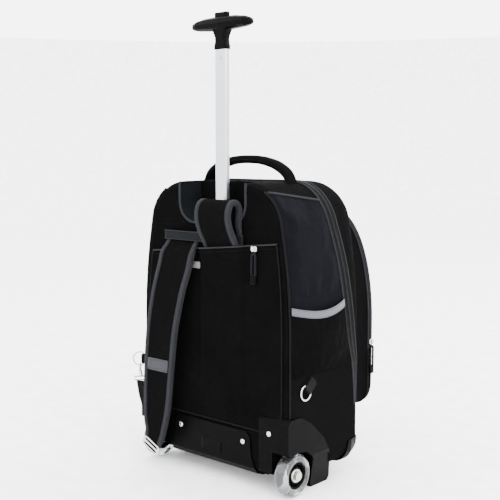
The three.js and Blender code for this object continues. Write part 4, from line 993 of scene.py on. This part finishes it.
class BACKPACK_OT_front_pocket(bpy.types.Operator):
    """Sews the front pocket: its gusset, its padded face and the zip between them"""

    bl_idname = "backpack.front_pocket"
    bl_label = "Front Pocket"

    def execute(self, context):
        shape = context.scene.backpack_shape
        line, lengths = pocket_outline(0)
        zip_start = crossing(line, lengths, POCKET_ZIP_END) / lengths[-1]
        shares = np.linspace(0, 1, 110)
        rear = FRONT - 12 * MM
        rows = np.linspace(rear, POCKET_ZIP_REAR - 0.2 * MM, 14)
        gusset = with_mirror(np.array([[on_pocket(s, y) for s in shares] for y in rows]))
        gusset = creased(gusset, -0.8 * MM, shape.wrinkle, 6, held=(True, True, False, False), size=0.04)
        made = tidied(grid_object("pocket_gusset_cloth", gusset))
        sheet(made, gusset, POCKET_CLOTH, "cloth", ["pocket_gusset"], subdivide=0)

        def face_row(t):
            row = []
            for s in shares:
                start = POCKET_ZIP_REAR + (POCKET_ZIP_FRONT - POCKET_ZIP_REAR) * float(
                    smoothstep((s - zip_start + 0.012) / 0.012))
                bend = POCKET_FRONT - POCKET_ROUND
                turn = math.asin(max(start - bend, 0.0) / POCKET_ROUND)
                if start < bend and t < 0.25:
                    row.append(on_pocket(s, start + (bend - start) * t / 0.25))
                else:
                    share = (t - 0.25) / 0.75 if start < bend else t
                    angle = turn + (math.pi / 2 - turn) * share
                    row.append(on_pocket(s, bend + POCKET_ROUND * math.sin(angle)))
            return row

        rim = np.array([face_row(t) for t in np.linspace(0, 1, 15)])
        last = rim[-1]
        height = np.clip(last[:, 2], POCKET_BASE + POCKET_SPINE, POCKET_TOP - POCKET_SPINE)
        spine = at_depth(0 * height, POCKET_FRONT, height)
        face = with_mirror(np.concatenate([rim, rows_between(last, spine, 12)], axis=0))
        face = creased(face, 1.2 * MM, shape.wrinkle, 7, held=(True, False, False, False), size=0.06)
        made = tidied(grid_object("pocket_face_cloth", face))
        sheet(made, face, POCKET_CLOTH, "cloth", ["pocket_front"], subdivide=0)

        along = np.linspace(zip_start, 1, 130)
        rear_edge = np.array([on_pocket(s, POCKET_ZIP_REAR, 0.3 * MM) for s in along])
        fore_edge = np.array([on_pocket(s, POCKET_ZIP_FRONT, 0.3 * MM) for s in along])
        middle = (POCKET_ZIP_REAR + POCKET_ZIP_FRONT) / 2
        outer = np.array([on_pocket(s, middle, 5 * MM) for s in along])
        outward = unit(outer - (rear_edge + fore_edge) / 2)
        outward = both_sides(outward)
        zip_on("pocket_zip", both_sides(rear_edge), both_sides(fore_edge), outward, ["pocket_zipper"],
               coil_width=4.2 * MM)
        seam = np.array([on_pocket(s, POCKET_ZIP_REAR, 0.6 * MM) for s in np.linspace(zip_start, 0, 60)])
        piped("pocket_low_piping", both_sides(seam), 1.4 * MM, "dark_binding")
        return {"FINISHED"}


# The side and back pockets

def half_width(z):
    """Half width of the bag at a height."""
    line, _ = outline(0)
    rising = line[line[:, 1] < SHOULDER[1]][14:]
    return float(np.interp(z, rising[:, 1], rising[:, 0]))


SIDE_POCKET_DIP = 10 * MM
SIDE_POCKET_PUFF = 9 * MM
TRIM_HEIGHT = 12 * MM


def on_side_pocket(u, w, out=0.0, low_share=0.0):
    """A point of the right-hand side pocket: u from its back edge to the seam, w from base to mouth."""
    share = u**1.6
    mouth = SIDE_POCKET_MOUTH - SIDE_POCKET_DIP * math.sin(math.pi * share)
    start = SIDE_POCKET_BASE if low_share == 0 else mouth - low_share
    z = start + w * (mouth - start)
    y = 8 * MM + share * (join_at(z) - 8.6 * MM)
    rise = (z - SIDE_POCKET_BASE) / (mouth - SIDE_POCKET_BASE)
    puff = SIDE_POCKET_PUFF * math.sin(math.pi * share) ** 0.7 * float(smoothstep(3 * rise))
    edge = max(BACK_ROUND - (y - BACK), 0.0)
    drop = BACK_ROUND - math.sqrt(BACK_ROUND**2 - edge**2)
    return np.array([half_width(z) - drop + 2.0 * MM + puff + out, y, z])


BACK_POCKET_BASE = low("back_pocket").z
BACK_POCKET_MOUTH = 391 * MM
MOUTH_SLOPE = 0.1
BACK_POCKET_MARGIN = 17 * MM
BACK_POCKET_WIDEST = 430 * MM
CUSHION = 4 * MM
STRAP_ROOM = 5 * MM
MOUTH_ROOM = 6 * MM
STRAP_X = 30 * MM
STRAP_WIDTH = high("strap_right").x - low("strap_right").x


def mouth_height(x):
    return BACK_POCKET_MOUTH + MOUTH_SLOPE * x


def on_back_pocket(x, z, out=0.0):
    """A point of the back pocket's face: a low cushion with a flat room for the tucked strap."""
    half = half_width(min(z, BACK_POCKET_WIDEST)) - BACK_POCKET_MARGIN
    side = max(1 - (abs(x) / half) ** 6, 0.0)
    rise = (z - BACK_POCKET_BASE) / (mouth_height(x) - BACK_POCKET_BASE)
    room = 1 - float(smoothstep((abs(x - STRAP_X) - STRAP_WIDTH / 2 - 4 * MM) / (8 * MM)))
    off = CUSHION * side * float(smoothstep(8 * rise))
    off += room * (STRAP_ROOM * float(smoothstep(2.4 * rise))
                   + MOUTH_ROOM * float(smoothstep((rise - 0.9) * 10)))
    return np.array([x, BACK - 1.9 * MM - off - out, z])


class BACKPACK_OT_pockets(bpy.types.Operator):
    """Sews the side pockets with their reflective trims, and the zipped pocket of the back"""

    bl_idname = "backpack.pockets"
    bl_label = "Side and Back Pockets"

    def execute(self, context):
        shape = context.scene.backpack_shape
        columns, rows = np.linspace(1, 0, 50), np.linspace(0, 1, 34)
        cloth = np.array([[on_side_pocket(u, w) for u in columns] for w in rows])
        on_trim = lambda u, w, out: on_side_pocket(u, w, out, TRIM_HEIGHT)
        trim = np.array([[on_trim(u, w, 1.5 * MM) for u in columns] for w in np.linspace(0, 1, 7)])
        for name, mirror in (("right", lambda g: g), ("left", flipped)):
            grid = creased(mirror(cloth), 0.0, 1.6 * shape.wrinkle, 8, size=0.035)
            made = grid_object(f"side_pocket_cloth_{name}", grid)
            under_trim = np.arange(len(grid))[:, None] + np.zeros(grid.shape[:2]) > 0.8 * len(grid)
            settled(made, sewn_points(grid, under_trim), 0.5 * shape.pressure, 0.01, reach=2.5 * MM)
            sheet(made, grid, MESH_CLOTH, "mesh", [f"side_pocket_{name}"])
            band = grid_object(f"side_pocket_trim_{name}", mirror(trim))
            sheet(band, mirror(trim), 1.0 * MM, "tape", [f"pocket_trim_{name}"])
            outward = np.array([SIDES[name], 0.0, 0.0])
            for edge, share in (("low", 0.12), ("top", 0.88)):
                line = np.array([on_trim(u, share, 1.7 * MM) for u in np.linspace(0.02, 0.98, 60)])
                line = line * (SIDES[name], 1, 1)
                stitched(f"trim_stitches_{edge}_{name}", line, outward, "pale_thread", 2.4 * MM)
        self.back_pocket(shape)
        return {"FINISHED"}

    def back_pocket(self, shape):
        """The padded mesh pocket across the back, its bound lip and the coil of its zip."""
        across = np.linspace(1, -1, 90)
        grid = []
        for w in np.linspace(0, 1, 80):
            z = BACK_POCKET_BASE + w * (BACK_POCKET_MOUTH - BACK_POCKET_BASE)
            half = half_width(z) - BACK_POCKET_MARGIN
            rise = lambda x: BACK_POCKET_BASE + w * (mouth_height(x) - BACK_POCKET_BASE)
            grid.append([on_back_pocket(half * u, rise(half * u)) for u in across])
        grid = creased(np.array(grid), 0.3 * MM, 0.8 * shape.wrinkle, 9)
        made = cut_away(grid_object("back_pocket_cloth", grid), in_housing)
        sheet(made, grid, MESH_CLOTH, "airmesh", ["back_pocket"], subdivide=0)
        lip = grid[-1] + np.array([0.0, -0.2, 0.6]) * MM
        piped("back_pocket_lip", lip, 1.3 * MM)
        coil = lip + np.array([0.0, 1.6, 0.6]) * MM
        coiled("back_pocket_coil", coil, (0.0, 0.0, 1.0), 3.6 * MM)
        edge = np.vstack([grid[::-1, -1], grid[0, ::-1][1:], grid[1:, 0]]) + np.array([0.0, -0.4, 0.0]) * MM
        piped("back_pocket_edge", resampled(edge, 260), 1.1 * MM, "dark_binding")
        stitch = np.array([on_back_pocket(x, mouth_height(x) - 6 * MM, 0.7 * MM)
                           for x in np.linspace(-150 * MM, 150 * MM, 160)])
        stitched("back_pocket_stitches", stitch, (0.0, -1.0, 0.0))
        dressed(bevelled("name_plate", 0.3 * MM), "plate")


def node_of(name):
    """A piece of the frame by its name."""
    return bpy.data.objects[name]


def bevelled(name, width):
    """Rounds the sharp edges of a piece of the frame."""
    return modifier(node_of(name), "BEVEL", width=width, segments=3, limit_method="ANGLE", angle_limit=0.55)


class BACKPACK_OT_handle_bay(bpy.types.Operator):
    """Lines the bay behind the back panel from which the pull handle rises"""

    bl_idname = "backpack.handle_bay"
    bl_label = "Handle Bay"

    def execute(self, context):
        corner = np.linspace(0, math.pi / 2, 14)
        half = joined(
            np.array([[0.0, BAY_FLOOR], [BAY_HALF - BAY_CORNER, BAY_FLOOR]]),
            np.stack([BAY_HALF - BAY_CORNER + BAY_CORNER * np.sin(corner),
                      BAY_FLOOR + BAY_CORNER - BAY_CORNER * np.cos(corner)], axis=1),
            np.array([[BAY_HALF, BAY_FLOOR + BAY_CORNER], [BAY_HALF, TOP - 0.5 * MM]]),
        )
        half = resampled(half, 40)
        line = np.vstack([half[::-1] * np.array([-1.0, 1.0]), half[1:]])
        rows = np.linspace(BACK + 0.3 * MM, BAY_DEPTH, 14)
        wall = np.array([[(x, y, z) for x, z in line] for y in rows])
        wall = creased(wall, -0.5 * MM, 0.6 * MM, 10, size=0.03)
        collar = (low("tube_collar"), high("tube_collar"))
        half_collar = (collar[1].x - collar[0].x) / 2
        collar_y = (collar[0].y + collar[1].y) / 2 - ORIGIN[1]
        over_collar = lambda p: (math.hypot(p[0], p[1] - collar_y) < half_collar
                                 and p[2] < BAY_FLOOR + 4 * MM)
        made = cut_away(grid_object("bay_lining", wall[:, ::-1]), over_collar)
        sheet(made, wall, 1.2 * MM, "lining", ["handle_bay"])
        high_edge = TOP - 0.5 * MM
        far = np.array([[(x, BAY_DEPTH, z + (high_edge - z) * t) for x, z in line]
                        for t in np.linspace(0, 1, 20)])
        far = creased(far, 0.0, 0.8 * MM, 11, size=0.03)
        sheet(grid_object("bay_far_wall", far), far, MESH_CLOTH, "cloth")
        for name, y, radius in (("rear", BACK - 0.5 * MM, 2.0 * MM), ("far", BAY_DEPTH - 1 * MM, 1.2 * MM)):
            rim = at_depth(line[:, 0], y, line[:, 1])
            tape = "binding" if name == "rear" else "dark_binding"
            piped(f"bay_binding_{name}", resampled(rim, 140), radius, tape)
        return {"FINISHED"}


# Straps and webbing

# Columns: Y, Z, thickness
RIGHT_STRAP = np.array([
    (1.7, 401, 4), (1.7, 417, 4), (0, 426, 6), (-0.8, 434, 7), (0.2, 444, 8), (1.2, 454, 8), (-2, 463, 8),
    (-10, 468.5, 8), (-19, 465.5, 8), (-24.5, 456, 8), (-25.5, 442, 8), (-21.5, 427, 8), (-14.5, 413, 8),
    (-7.8, 401, 7), (-4.2, 390, 6), (-1.6, 376, 6), (-0.8, 350, 6), (-0.8, 310, 6), (-0.8, 268, 6)]) * MM
# Columns: Z, distance off the back panel, left X, right X, thickness
LEFT_STRAP = np.array([
    (415, 2.3, -103, -29, 4), (399, 2.3, -103, -28, 4), (393.5, 6.4, -103, -28, 4.5),
    (387, 11.5, -103, -27, 6), (380, 15, -104, -27, 8), (355, 20, -108, -31, 8),
    (325, 24.5, -114, -39, 8), (290, 28, -120, -46, 8), (250, 31, -125, -53, 8),
    (205, 33, -128.5, -58, 8), (160, 33.5, -131, -63, 8), (120, 33, -133, -69, 8),
    (85, 31.5, -135, -79, 8), (60, 30, -134, -89, 7), (45, 29, -138, -98, 5)]) * MM


def strap(name, rows, node, binding):
    """A padded strap along rows of X, Y, Z, width and thickness, with a bound edge on each side."""
    rows = smooth_line(rows, 150)
    middle, wide, thick = rows[:, :3], rows[:, 3], rows[:, 4]
    ahead = unit(np.gradient(middle, axis=0))
    side = unit(np.array([1.0, 0.0, 0.0]) - ahead[:, :1] * ahead)
    outward = np.cross(side, ahead)
    made = swept(name, middle, soft_section(1.0, 1.0, 5.0, 44), outward, widths=wide - 2 * MM,
                 thicks=thick - 0.8 * MM)
    dressed(made, "padding", nodes=[node])
    for edge, way in (("left", -1), ("right", 1)):
        path = middle + way * (wide / 2 - binding / 2)[:, None] * side
        tape = swept(f"{name}_binding_{edge}", path, soft_section(1.0, 1.0, 4.0, 24), outward,
                     widths=binding + 0 * wide, thicks=thick + 0.9 * MM)
        dressed(tape, "binding")
        for face, way_out in (("inner", -1), ("outer", 1)):
            line = path - way * (binding / 2 - 1.6 * MM) * side
            line = line + way_out * (thick / 2 + 0.4 * MM)[:, None] * outward
            stitched(f"{name}_stitches_{edge}_{face}", line, way_out * outward)


class BACKPACK_OT_straps(bpy.types.Operator):
    """Hangs the two shoulder straps, the band across them, the webbing and the small reflective tab"""

    bl_idname = "backpack.straps"
    bl_label = "Straps"

    def execute(self, context):
        binding = context.scene.backpack_shape.binding
        right = np.stack([0 * RIGHT_STRAP[:, 0] + STRAP_X, RIGHT_STRAP[:, 0], RIGHT_STRAP[:, 1],
                          0 * RIGHT_STRAP[:, 0] + STRAP_WIDTH, RIGHT_STRAP[:, 2]], axis=1)
        strap("strap_right_pad", right, "strap_right", binding)
        z, off, left_x, right_x, thick = LEFT_STRAP.T
        left = np.stack([(left_x + right_x) / 2, BACK - off, z, right_x - left_x, thick], axis=1)
        strap("strap_left_pad", left, "strap_left", binding)
        self.band()
        self.tab(binding)
        dressed(bevelled("lower_webbing", 0.5 * MM), "webbing")
        dressed(bevelled("strap_slider", 0.8 * MM), "steel")
        return {"FINISHED"}

    def band(self):
        """The slate band sewn across the top ends of the straps."""
        lo, hi = low("strap_band"), high("strap_band")
        y = (lo.y + hi.y) / 2 - ORIGIN[1]
        z = (lo.z + hi.z) / 2
        line = at_depth(np.linspace(lo.x, hi.x, 40) - ORIGIN[0], y, np.full(40, z))
        line[:, 1] -= 0.5 * MM * np.sin(np.linspace(0, math.pi, 40))
        made = swept("band_webbing", line, soft_section(hi.z - lo.z, 1.7 * MM, 6.0), (0.0, -1.0, 0.0))
        dressed(made, "slate_webbing", nodes=["strap_band"])
        for edge, way in (("top", 1), ("low", -1)):
            piped(f"band_edge_{edge}", line + np.array([0.0, -1.0, way * 7.0]) * MM, 0.7 * MM)
        for edge, way in (("top", 1), ("low", -1)):
            path = line + np.array([0.0, -1.05, way * 5.2]) * MM
            stitched(f"band_stitches_{edge}", path, (0.0, -1.0, 0.0))

    def tab(self, binding):
        """The bare reflective tab on the left strap."""
        heights = np.linspace(low("strap_tab").z, high("strap_tab").z, 8)
        order = np.argsort(LEFT_STRAP[:, 0])
        rows = LEFT_STRAP[order]
        off, left_x, right_x, thick = (np.interp(heights, rows[:, 0], rows[:, k]) for k in range(1, 5))
        across = np.linspace(1, 0, 16)
        start, reach = left_x + binding, right_x - left_x - 2 * binding
        face = BACK - off - thick / 2 - 0.5 * MM
        grid = np.array([[(x + wide * t, y, z) for t in across]
                         for x, wide, y, z in zip(start, reach, face, heights)])
        made = grid_object("reflective_tab", grid)
        # The tab's finish is the reflective tape darkened as painted shade for the key light
        sheet(made, grid, 0.8 * MM, "tab", ["strap_tab"])
        for edge, row in (("low", 1), ("top", -2)):
            line = grid[row] + np.array([0.0, -0.1, 0.0]) * MM
            stitched(f"tab_stitches_{edge}", line, (0.0, -1.0, 0.0), length=2.2 * MM)


# Columns: along the handle in half spans, height in peaks, thickness
GRAB_HANDLE = [(-1, -0.3, 0.45), (-0.95, 0, 0.6), (-0.86, 0.36, 0.9), (-0.68, 0.68, 1), (-0.42, 0.9, 1),
               (0, 1, 1), (0.42, 0.9, 1), (0.68, 0.68, 1), (0.86, 0.36, 0.9), (0.95, 0, 0.6), (1, -0.3, 0.45)]
GRAB_REACH = 98.5 * MM
GRAB_PEAK = 37 * MM
GRAB_WIDTH = 26 * MM
GRAB_THICK = 14 * MM


class BACKPACK_OT_handles(bpy.types.Operator):
    """Makes the padded grab handle and the telescopic pull handle with its grip and button"""

    bl_idname = "backpack.handles"
    bl_label = "Handles"

    def execute(self, context):
        y = (low("grab_handle").y + high("grab_handle").y) / 2 - ORIGIN[1]
        rows = np.array([(along * GRAB_REACH, y, TOP + up * GRAB_PEAK, GRAB_WIDTH, GRAB_THICK * thick)
                         for along, up, thick in GRAB_HANDLE])
        rows = smooth_line(rows, 120)
        middle = rows[:, :3]
        ahead = unit(np.gradient(middle, axis=0))
        outward = np.cross(np.array([0.0, 1.0, 0.0]), ahead) * -1
        made = swept("grab_handle_pad", middle, soft_section(1.0, 1.0, 2.6, 36), outward, widths=rows[:, 3],
                     thicks=rows[:, 4])
        dressed(made, "padding", nodes=["grab_handle"])
        for way, name in ((-1, "rear"), (1, "front")):
            line = middle + way * np.array([0.0, 1.0, 0.0]) * (GRAB_WIDTH / 2 - 1.2 * MM)
            piped(f"grab_handle_piping_{name}", line[4:-4], 1.3 * MM, "dark_binding")
        for name, kind in (("inner_tube", "aluminium"), ("outer_tube", "aluminium"), ("tube_collar", "grip"),
                           ("tube_plug", "grip"), ("tube_pin", "steel")):
            dressed(bevelled(name, 0.5 * MM), kind)
        dressed(softened(node_of("grip"), 0.5 * MM, 8), "grip")
        button = dressed(softened(node_of("grip_button"), 0.4 * MM, 5), "grip")
        # The remesh swells the button, which would then touch the grip when pressed
        modifier(button, "DISPLACE", strength=-0.4 * MM, mid_level=0.0)
        return {"FINISHED"}


# Profiles in millimetres. Columns: radius, distance along the axis
RIVET = [(0.0001, -1.9), (1.8, -1.8), (3.3, -1.3), (4.2, -0.6), (4.5, 0), (4.5, 0.9), (0.0001, 0.9)]
RIVET_RADIUS = 4.5
HUB_RIM = [(21.7, -9), (21.7, 9), (20.4, 10), (18.6, 9.4), (18.2, 2), (18.2, -2), (18.6, -9.4), (20.4, -10)]
HUB_BOSS = [(11.2, -8), (11.2, 8), (13.2, 8.4), (14, 7), (14, -7), (13.2, -8.4)]
BEARING = [(10.9, 9.6), (9.7, 10.2), (8.9, 9.4), (7.3, 9.1), (6.2, 9.8), (5.4, 9.4)]
SPOKES = 10
SPOKE_REACH = (13.4, 19)
TYRE_BORE = 22 * MM
TYRE_SHOULDER = 7 * MM
PANEL_MIDDLE = 58 * MM
PANEL_HALF = 23
PANEL_HEIGHT = 20 * MM


class BACKPACK_OT_wheels(bpy.types.Operator):
    """Makes the tyres, spoked hubs and bearings, and finishes the housings, the kick plate and the guards"""

    bl_idname = "backpack.wheels"
    bl_label = "Wheels and Base"

    def execute(self, context):
        for name in SIDES:
            lo, hi = low(f"tyre_{name}"), high(f"tyre_{name}")
            centre = (np.array(lo) + np.array(hi)) / 2 - ORIGIN
            self.wheel(name, centre, (hi.z - lo.z) / 2, hi.x - lo.x)
        for name in ("wheel_housing_right", "wheel_housing_left", "kick_plate", "corner_guard_right",
                     "corner_guard_left"):
            made = dressed(bevelled(name, 1.1 * MM), "plastic")
            made.data.shade_smooth()
            modifier(made, "WEIGHTED_NORMAL", keep_sharp=True)
        for name in ("housing_rivet_right", "housing_rivet_left", "kick_rivet_right", "kick_rivet_left"):
            lo, hi = low(name), high(name)
            radius = (hi.x - lo.x) / 2
            profile = [(r * radius / RIVET_RADIUS, y * MM) for r, y in RIVET]
            middle = (np.array(lo) + np.array(hi)) / 2 - ORIGIN
            middle[1] = hi.y - ORIGIN[1] - 0.9 * MM
            dressed(turned(f"{name}_head", profile, middle, "Y", 40), "steel", nodes=[name])
        self.plate_panel()
        return {"FINISHED"}

    def wheel(self, name, centre, radius, width):
        """One wheel: a round-shouldered clear tyre on a spoked hub with a bearing and a bolt."""
        half = width / 2
        shoulder = [(radius - TYRE_SHOULDER * (1 - math.sin(a)), half * max(math.cos(a), 0.0) ** 0.7)
                    for a in np.linspace(0.0, math.pi / 2, 14)]
        outer = [(TYRE_BORE, half - 1 * MM), (TYRE_BORE + 2 * MM, half)] + shoulder
        profile = outer + [(r, -x) for r, x in outer[::-1][1:]]
        tyre = turned(f"clear_tyre_{name}", profile, centre, steps=128)
        dressed(tyre, "tyre", f"wheel_{name}", [f"tyre_{name}"])
        parts = [turned(f"hub_{name}_rim", np.array(HUB_RIM) * MM, centre),
                 turned(f"hub_{name}_boss", np.array(HUB_BOSS) * MM, centre)]
        for turn in np.linspace(0, 2 * math.pi, SPOKES, endpoint=False):
            ray = np.array([0.0, math.cos(turn), math.sin(turn)])
            path = centre + np.linspace(*SPOKE_REACH, 5)[:, None] * MM * ray
            parts.append(swept(f"hub_{name}_spoke", path, soft_section(2.6 * MM, 12 * MM), (1.0, 0.0, 0.0)))
        dressed(merged(f"spoked_hub_{name}", parts), "hub", f"wheel_{name}", [f"hub_{name}"])
        shell = BEARING + [(r, -x) for r, x in BEARING[::-1]]
        ring = turned(f"bearing_ring_{name}", np.array(shell) * MM, centre)
        dressed(ring, "steel", f"wheel_{name}", [f"bearing_{name}"])
        dressed(bevelled(f"axle_{name}", 0.6 * MM), "steel")

    def plate_panel(self):
        """The faint raised rectangle in the middle of the kick plate."""
        lo, hi = low("kick_plate"), high("kick_plate")
        middle = np.array([(lo.x + hi.x) / 2 - ORIGIN[0], lo.y - ORIGIN[1] + 0.1 * MM, PANEL_MIDDLE])
        line = middle + at_depth(np.linspace(-PANEL_HALF, PANEL_HALF, 12), 0.0, np.zeros(12)) * MM
        section = soft_section(PANEL_HEIGHT, 1.2 * MM, 8.0)
        dressed(swept("plate_panel", line, section, (0.0, -1.0, 0.0)), "plastic")


def merged(name, parts):
    """Joins several pieces into one object."""
    with bpy.context.temp_override(active_object=parts[0], selected_editable_objects=parts):
        bpy.ops.object.join()
    parts[0].name = name
    return parts[0]


class BACKPACK_OT_hardware(bpy.types.Operator):
    """Finishes the zip sliders, their cord pullers, the rings, their tabs and the hook"""

    bl_idname = "backpack.hardware"
    bl_label = "Hardware"

    def execute(self, context):
        for names, voxel, smoothing, kind in (
            (("dring_right", "dring_left", "snap_hook"), 0.45, 6, "steel"),
            (("main_zip_slider", "pocket_zip_slider", "back_zip_slider"), 0.35, 4, "steel"),
            (("dring_tab_right", "dring_tab_left"), 0.6, 6, "webbing"),
        ):
            for name in names:
                dressed(softened(node_of(name), voxel * MM, smoothing), kind)
        for name, wide in (("back_zip_puller", 0), ("pocket_zip_puller", 1), ("main_zip_puller", 1)):
            self.puller(name, wide)
        return {"FINISHED"}

    def puller(self, name, wide):
        """A loop of doubled cord with a moulded end, hanging on a zip slider. `wide` is its broad axis."""
        lo, hi = np.array(low(name)) - ORIGIN, np.array(high(name)) - ORIGIN
        middle = (lo + hi) / 2
        radius = 1.9 * MM
        half = (hi[wide] - lo[wide]) / 2 - radius
        across = np.eye(3)[wide]
        up = np.array([0.0, 0.0, 1.0])
        top, bottom = hi[2] - radius - 1 * MM, lo[2] + 12 * MM
        turn = np.linspace(0, math.pi, 12)
        foot = middle * (1, 1, 0)
        loop = [foot + across * half * math.cos(a) + up * (top - half + half * math.sin(a)) for a in turn]
        path = np.array([foot + across * half + up * bottom, *loop, foot - across * half + up * bottom])
        cord = swept(f"{name}_cord", smooth_line(resampled(path, 40), 80), round_section(radius))
        dressed(cord, "slate_webbing", nodes=[name])
        thick = hi[1 - wide] - lo[1 - wide]
        end = np.array([foot + up * z for z in np.linspace(lo[2] + 0.5 * MM, lo[2] + 15 * MM, 8)])
        dressed(swept(f"{name}_end", end, soft_section(hi[wide] - lo[wide], thick, 4.0),
                      np.eye(3)[1 - wide]), "hub")


# The studio

CAMERA = np.array([1042.35, -1072.08, 545.81]) * MM
CAMERA_TURN = math.radians(41.69)
CAMERA_DROP = math.radians(6.05)
CAMERA_LENS = 65.6
WORLD_STRENGTH = 6.5


class BACKPACK_OT_studio(bpy.types.Operator):
    """Lays the floor and sets the lights and the camera"""

    bl_idname = "backpack.studio"
    bl_label = "Studio"

    def execute(self, context):
        scene = context.scene
        seen = bpy.data.cameras.new("camera")
        seen.lens = CAMERA_LENS
        seen.sensor_width = 36.0
        camera = bpy.data.objects.new("camera", seen)
        camera.location = Vector(CAMERA + ORIGIN)
        level = math.cos(CAMERA_DROP)
        ahead = Vector((-math.sin(CAMERA_TURN) * level, math.cos(CAMERA_TURN) * level,
                        -math.sin(CAMERA_DROP)))
        camera.rotation_mode = "QUATERNION"
        camera.rotation_quaternion = ahead.to_track_quat("-Z", "Y")
        scene.collection.objects.link(camera)
        scene.camera = camera
        self.floor()
        world = bpy.data.worlds.new("studio")
        world.use_nodes = True
        background = world.node_tree.nodes["Background"]
        background.inputs["Color"].default_value = (1, 1, 1, 1)
        background.inputs["Strength"].default_value = WORLD_STRENGTH
        scene.world = world
        # Columns: name, place, size, power
        for name, place, size, power in (
            ("key", (-1.6, -1.9, 2.3), 1.6, 15.0),
            ("fill", (2.4, -0.9, 1.5), 1.4, 80.0),
            ("back", (0.6, 2.4, 2.2), 1.6, 50.0),
        ):
            lamp = bpy.data.lights.new(name, "AREA")
            lamp.size = size
            lamp.energy = power
            shown = bpy.data.objects.new(name, lamp)
            shown.location = place
            shown.rotation_mode = "QUATERNION"
            shown.rotation_quaternion = (Vector((0, 0, 0.3)) - Vector(place)).to_track_quat("-Z", "Y")
            scene.collection.objects.link(shown)
        return {"FINISHED"}

    def floor(self):
        """A round floor whose rim rises far behind the object."""
        rise = np.linspace(0.1, math.pi / 2, 8)
        radii = np.concatenate([np.linspace(0.001, 5, 8), 5 + 1.5 * np.sin(rise)])
        heights = np.concatenate([np.zeros(8), 1.5 - 1.5 * np.cos(rise)])
        turn = np.linspace(0, 2 * math.pi, 97)
        grid = np.stack([radii[:, None] * np.cos(turn), radii[:, None] * np.sin(turn),
                         heights[:, None] + 0 * turn], axis=-1)
        made = tidied(grid_object("floor", grid))
        made.data.materials.append(finish("floor"))


PIECES = [BACKPACK_OT_bag_panels, BACKPACK_OT_front_pocket, BACKPACK_OT_pockets,
          BACKPACK_OT_handle_bay, BACKPACK_OT_straps, BACKPACK_OT_handles, BACKPACK_OT_wheels,
          BACKPACK_OT_hardware, BACKPACK_OT_studio]


class BACKPACK_PT_pieces(bpy.types.Panel):
    """Lists the steps that dress the backpack"""

    bl_idname = "BACKPACK_PT_pieces"
    bl_label = "Wheeled Backpack"
    bl_space_type = "VIEW_3D"
    bl_region_type = "UI"
    bl_category = "Backpack"

    def draw(self, context):
        for group in (context.scene.backpack_shape, context.scene.backpack_colors):
            for name in group.__annotations__:
                self.layout.prop(group, name)
        for piece in PIECES:
            self.layout.operator(piece.bl_idname)


GROUPS = [BackpackColors, BackpackShape]


def register():
    for part in (*GROUPS, *PIECES, BACKPACK_PT_pieces):
        bpy.utils.register_class(part)
    bpy.types.Scene.backpack_colors = bpy.props.PointerProperty(type=BackpackColors)
    bpy.types.Scene.backpack_shape = bpy.props.PointerProperty(type=BackpackShape)


def unregister():
    del bpy.types.Scene.backpack_shape
    del bpy.types.Scene.backpack_colors
    for part in reversed((*GROUPS, *PIECES, BACKPACK_PT_pieces)):
        bpy.utils.unregister_class(part)


def main():
    register()
    for piece in PIECES:
        group, step = piece.bl_idname.split(".")
        getattr(getattr(bpy.ops, group), step)()


if __name__ == "__main__":
    main()
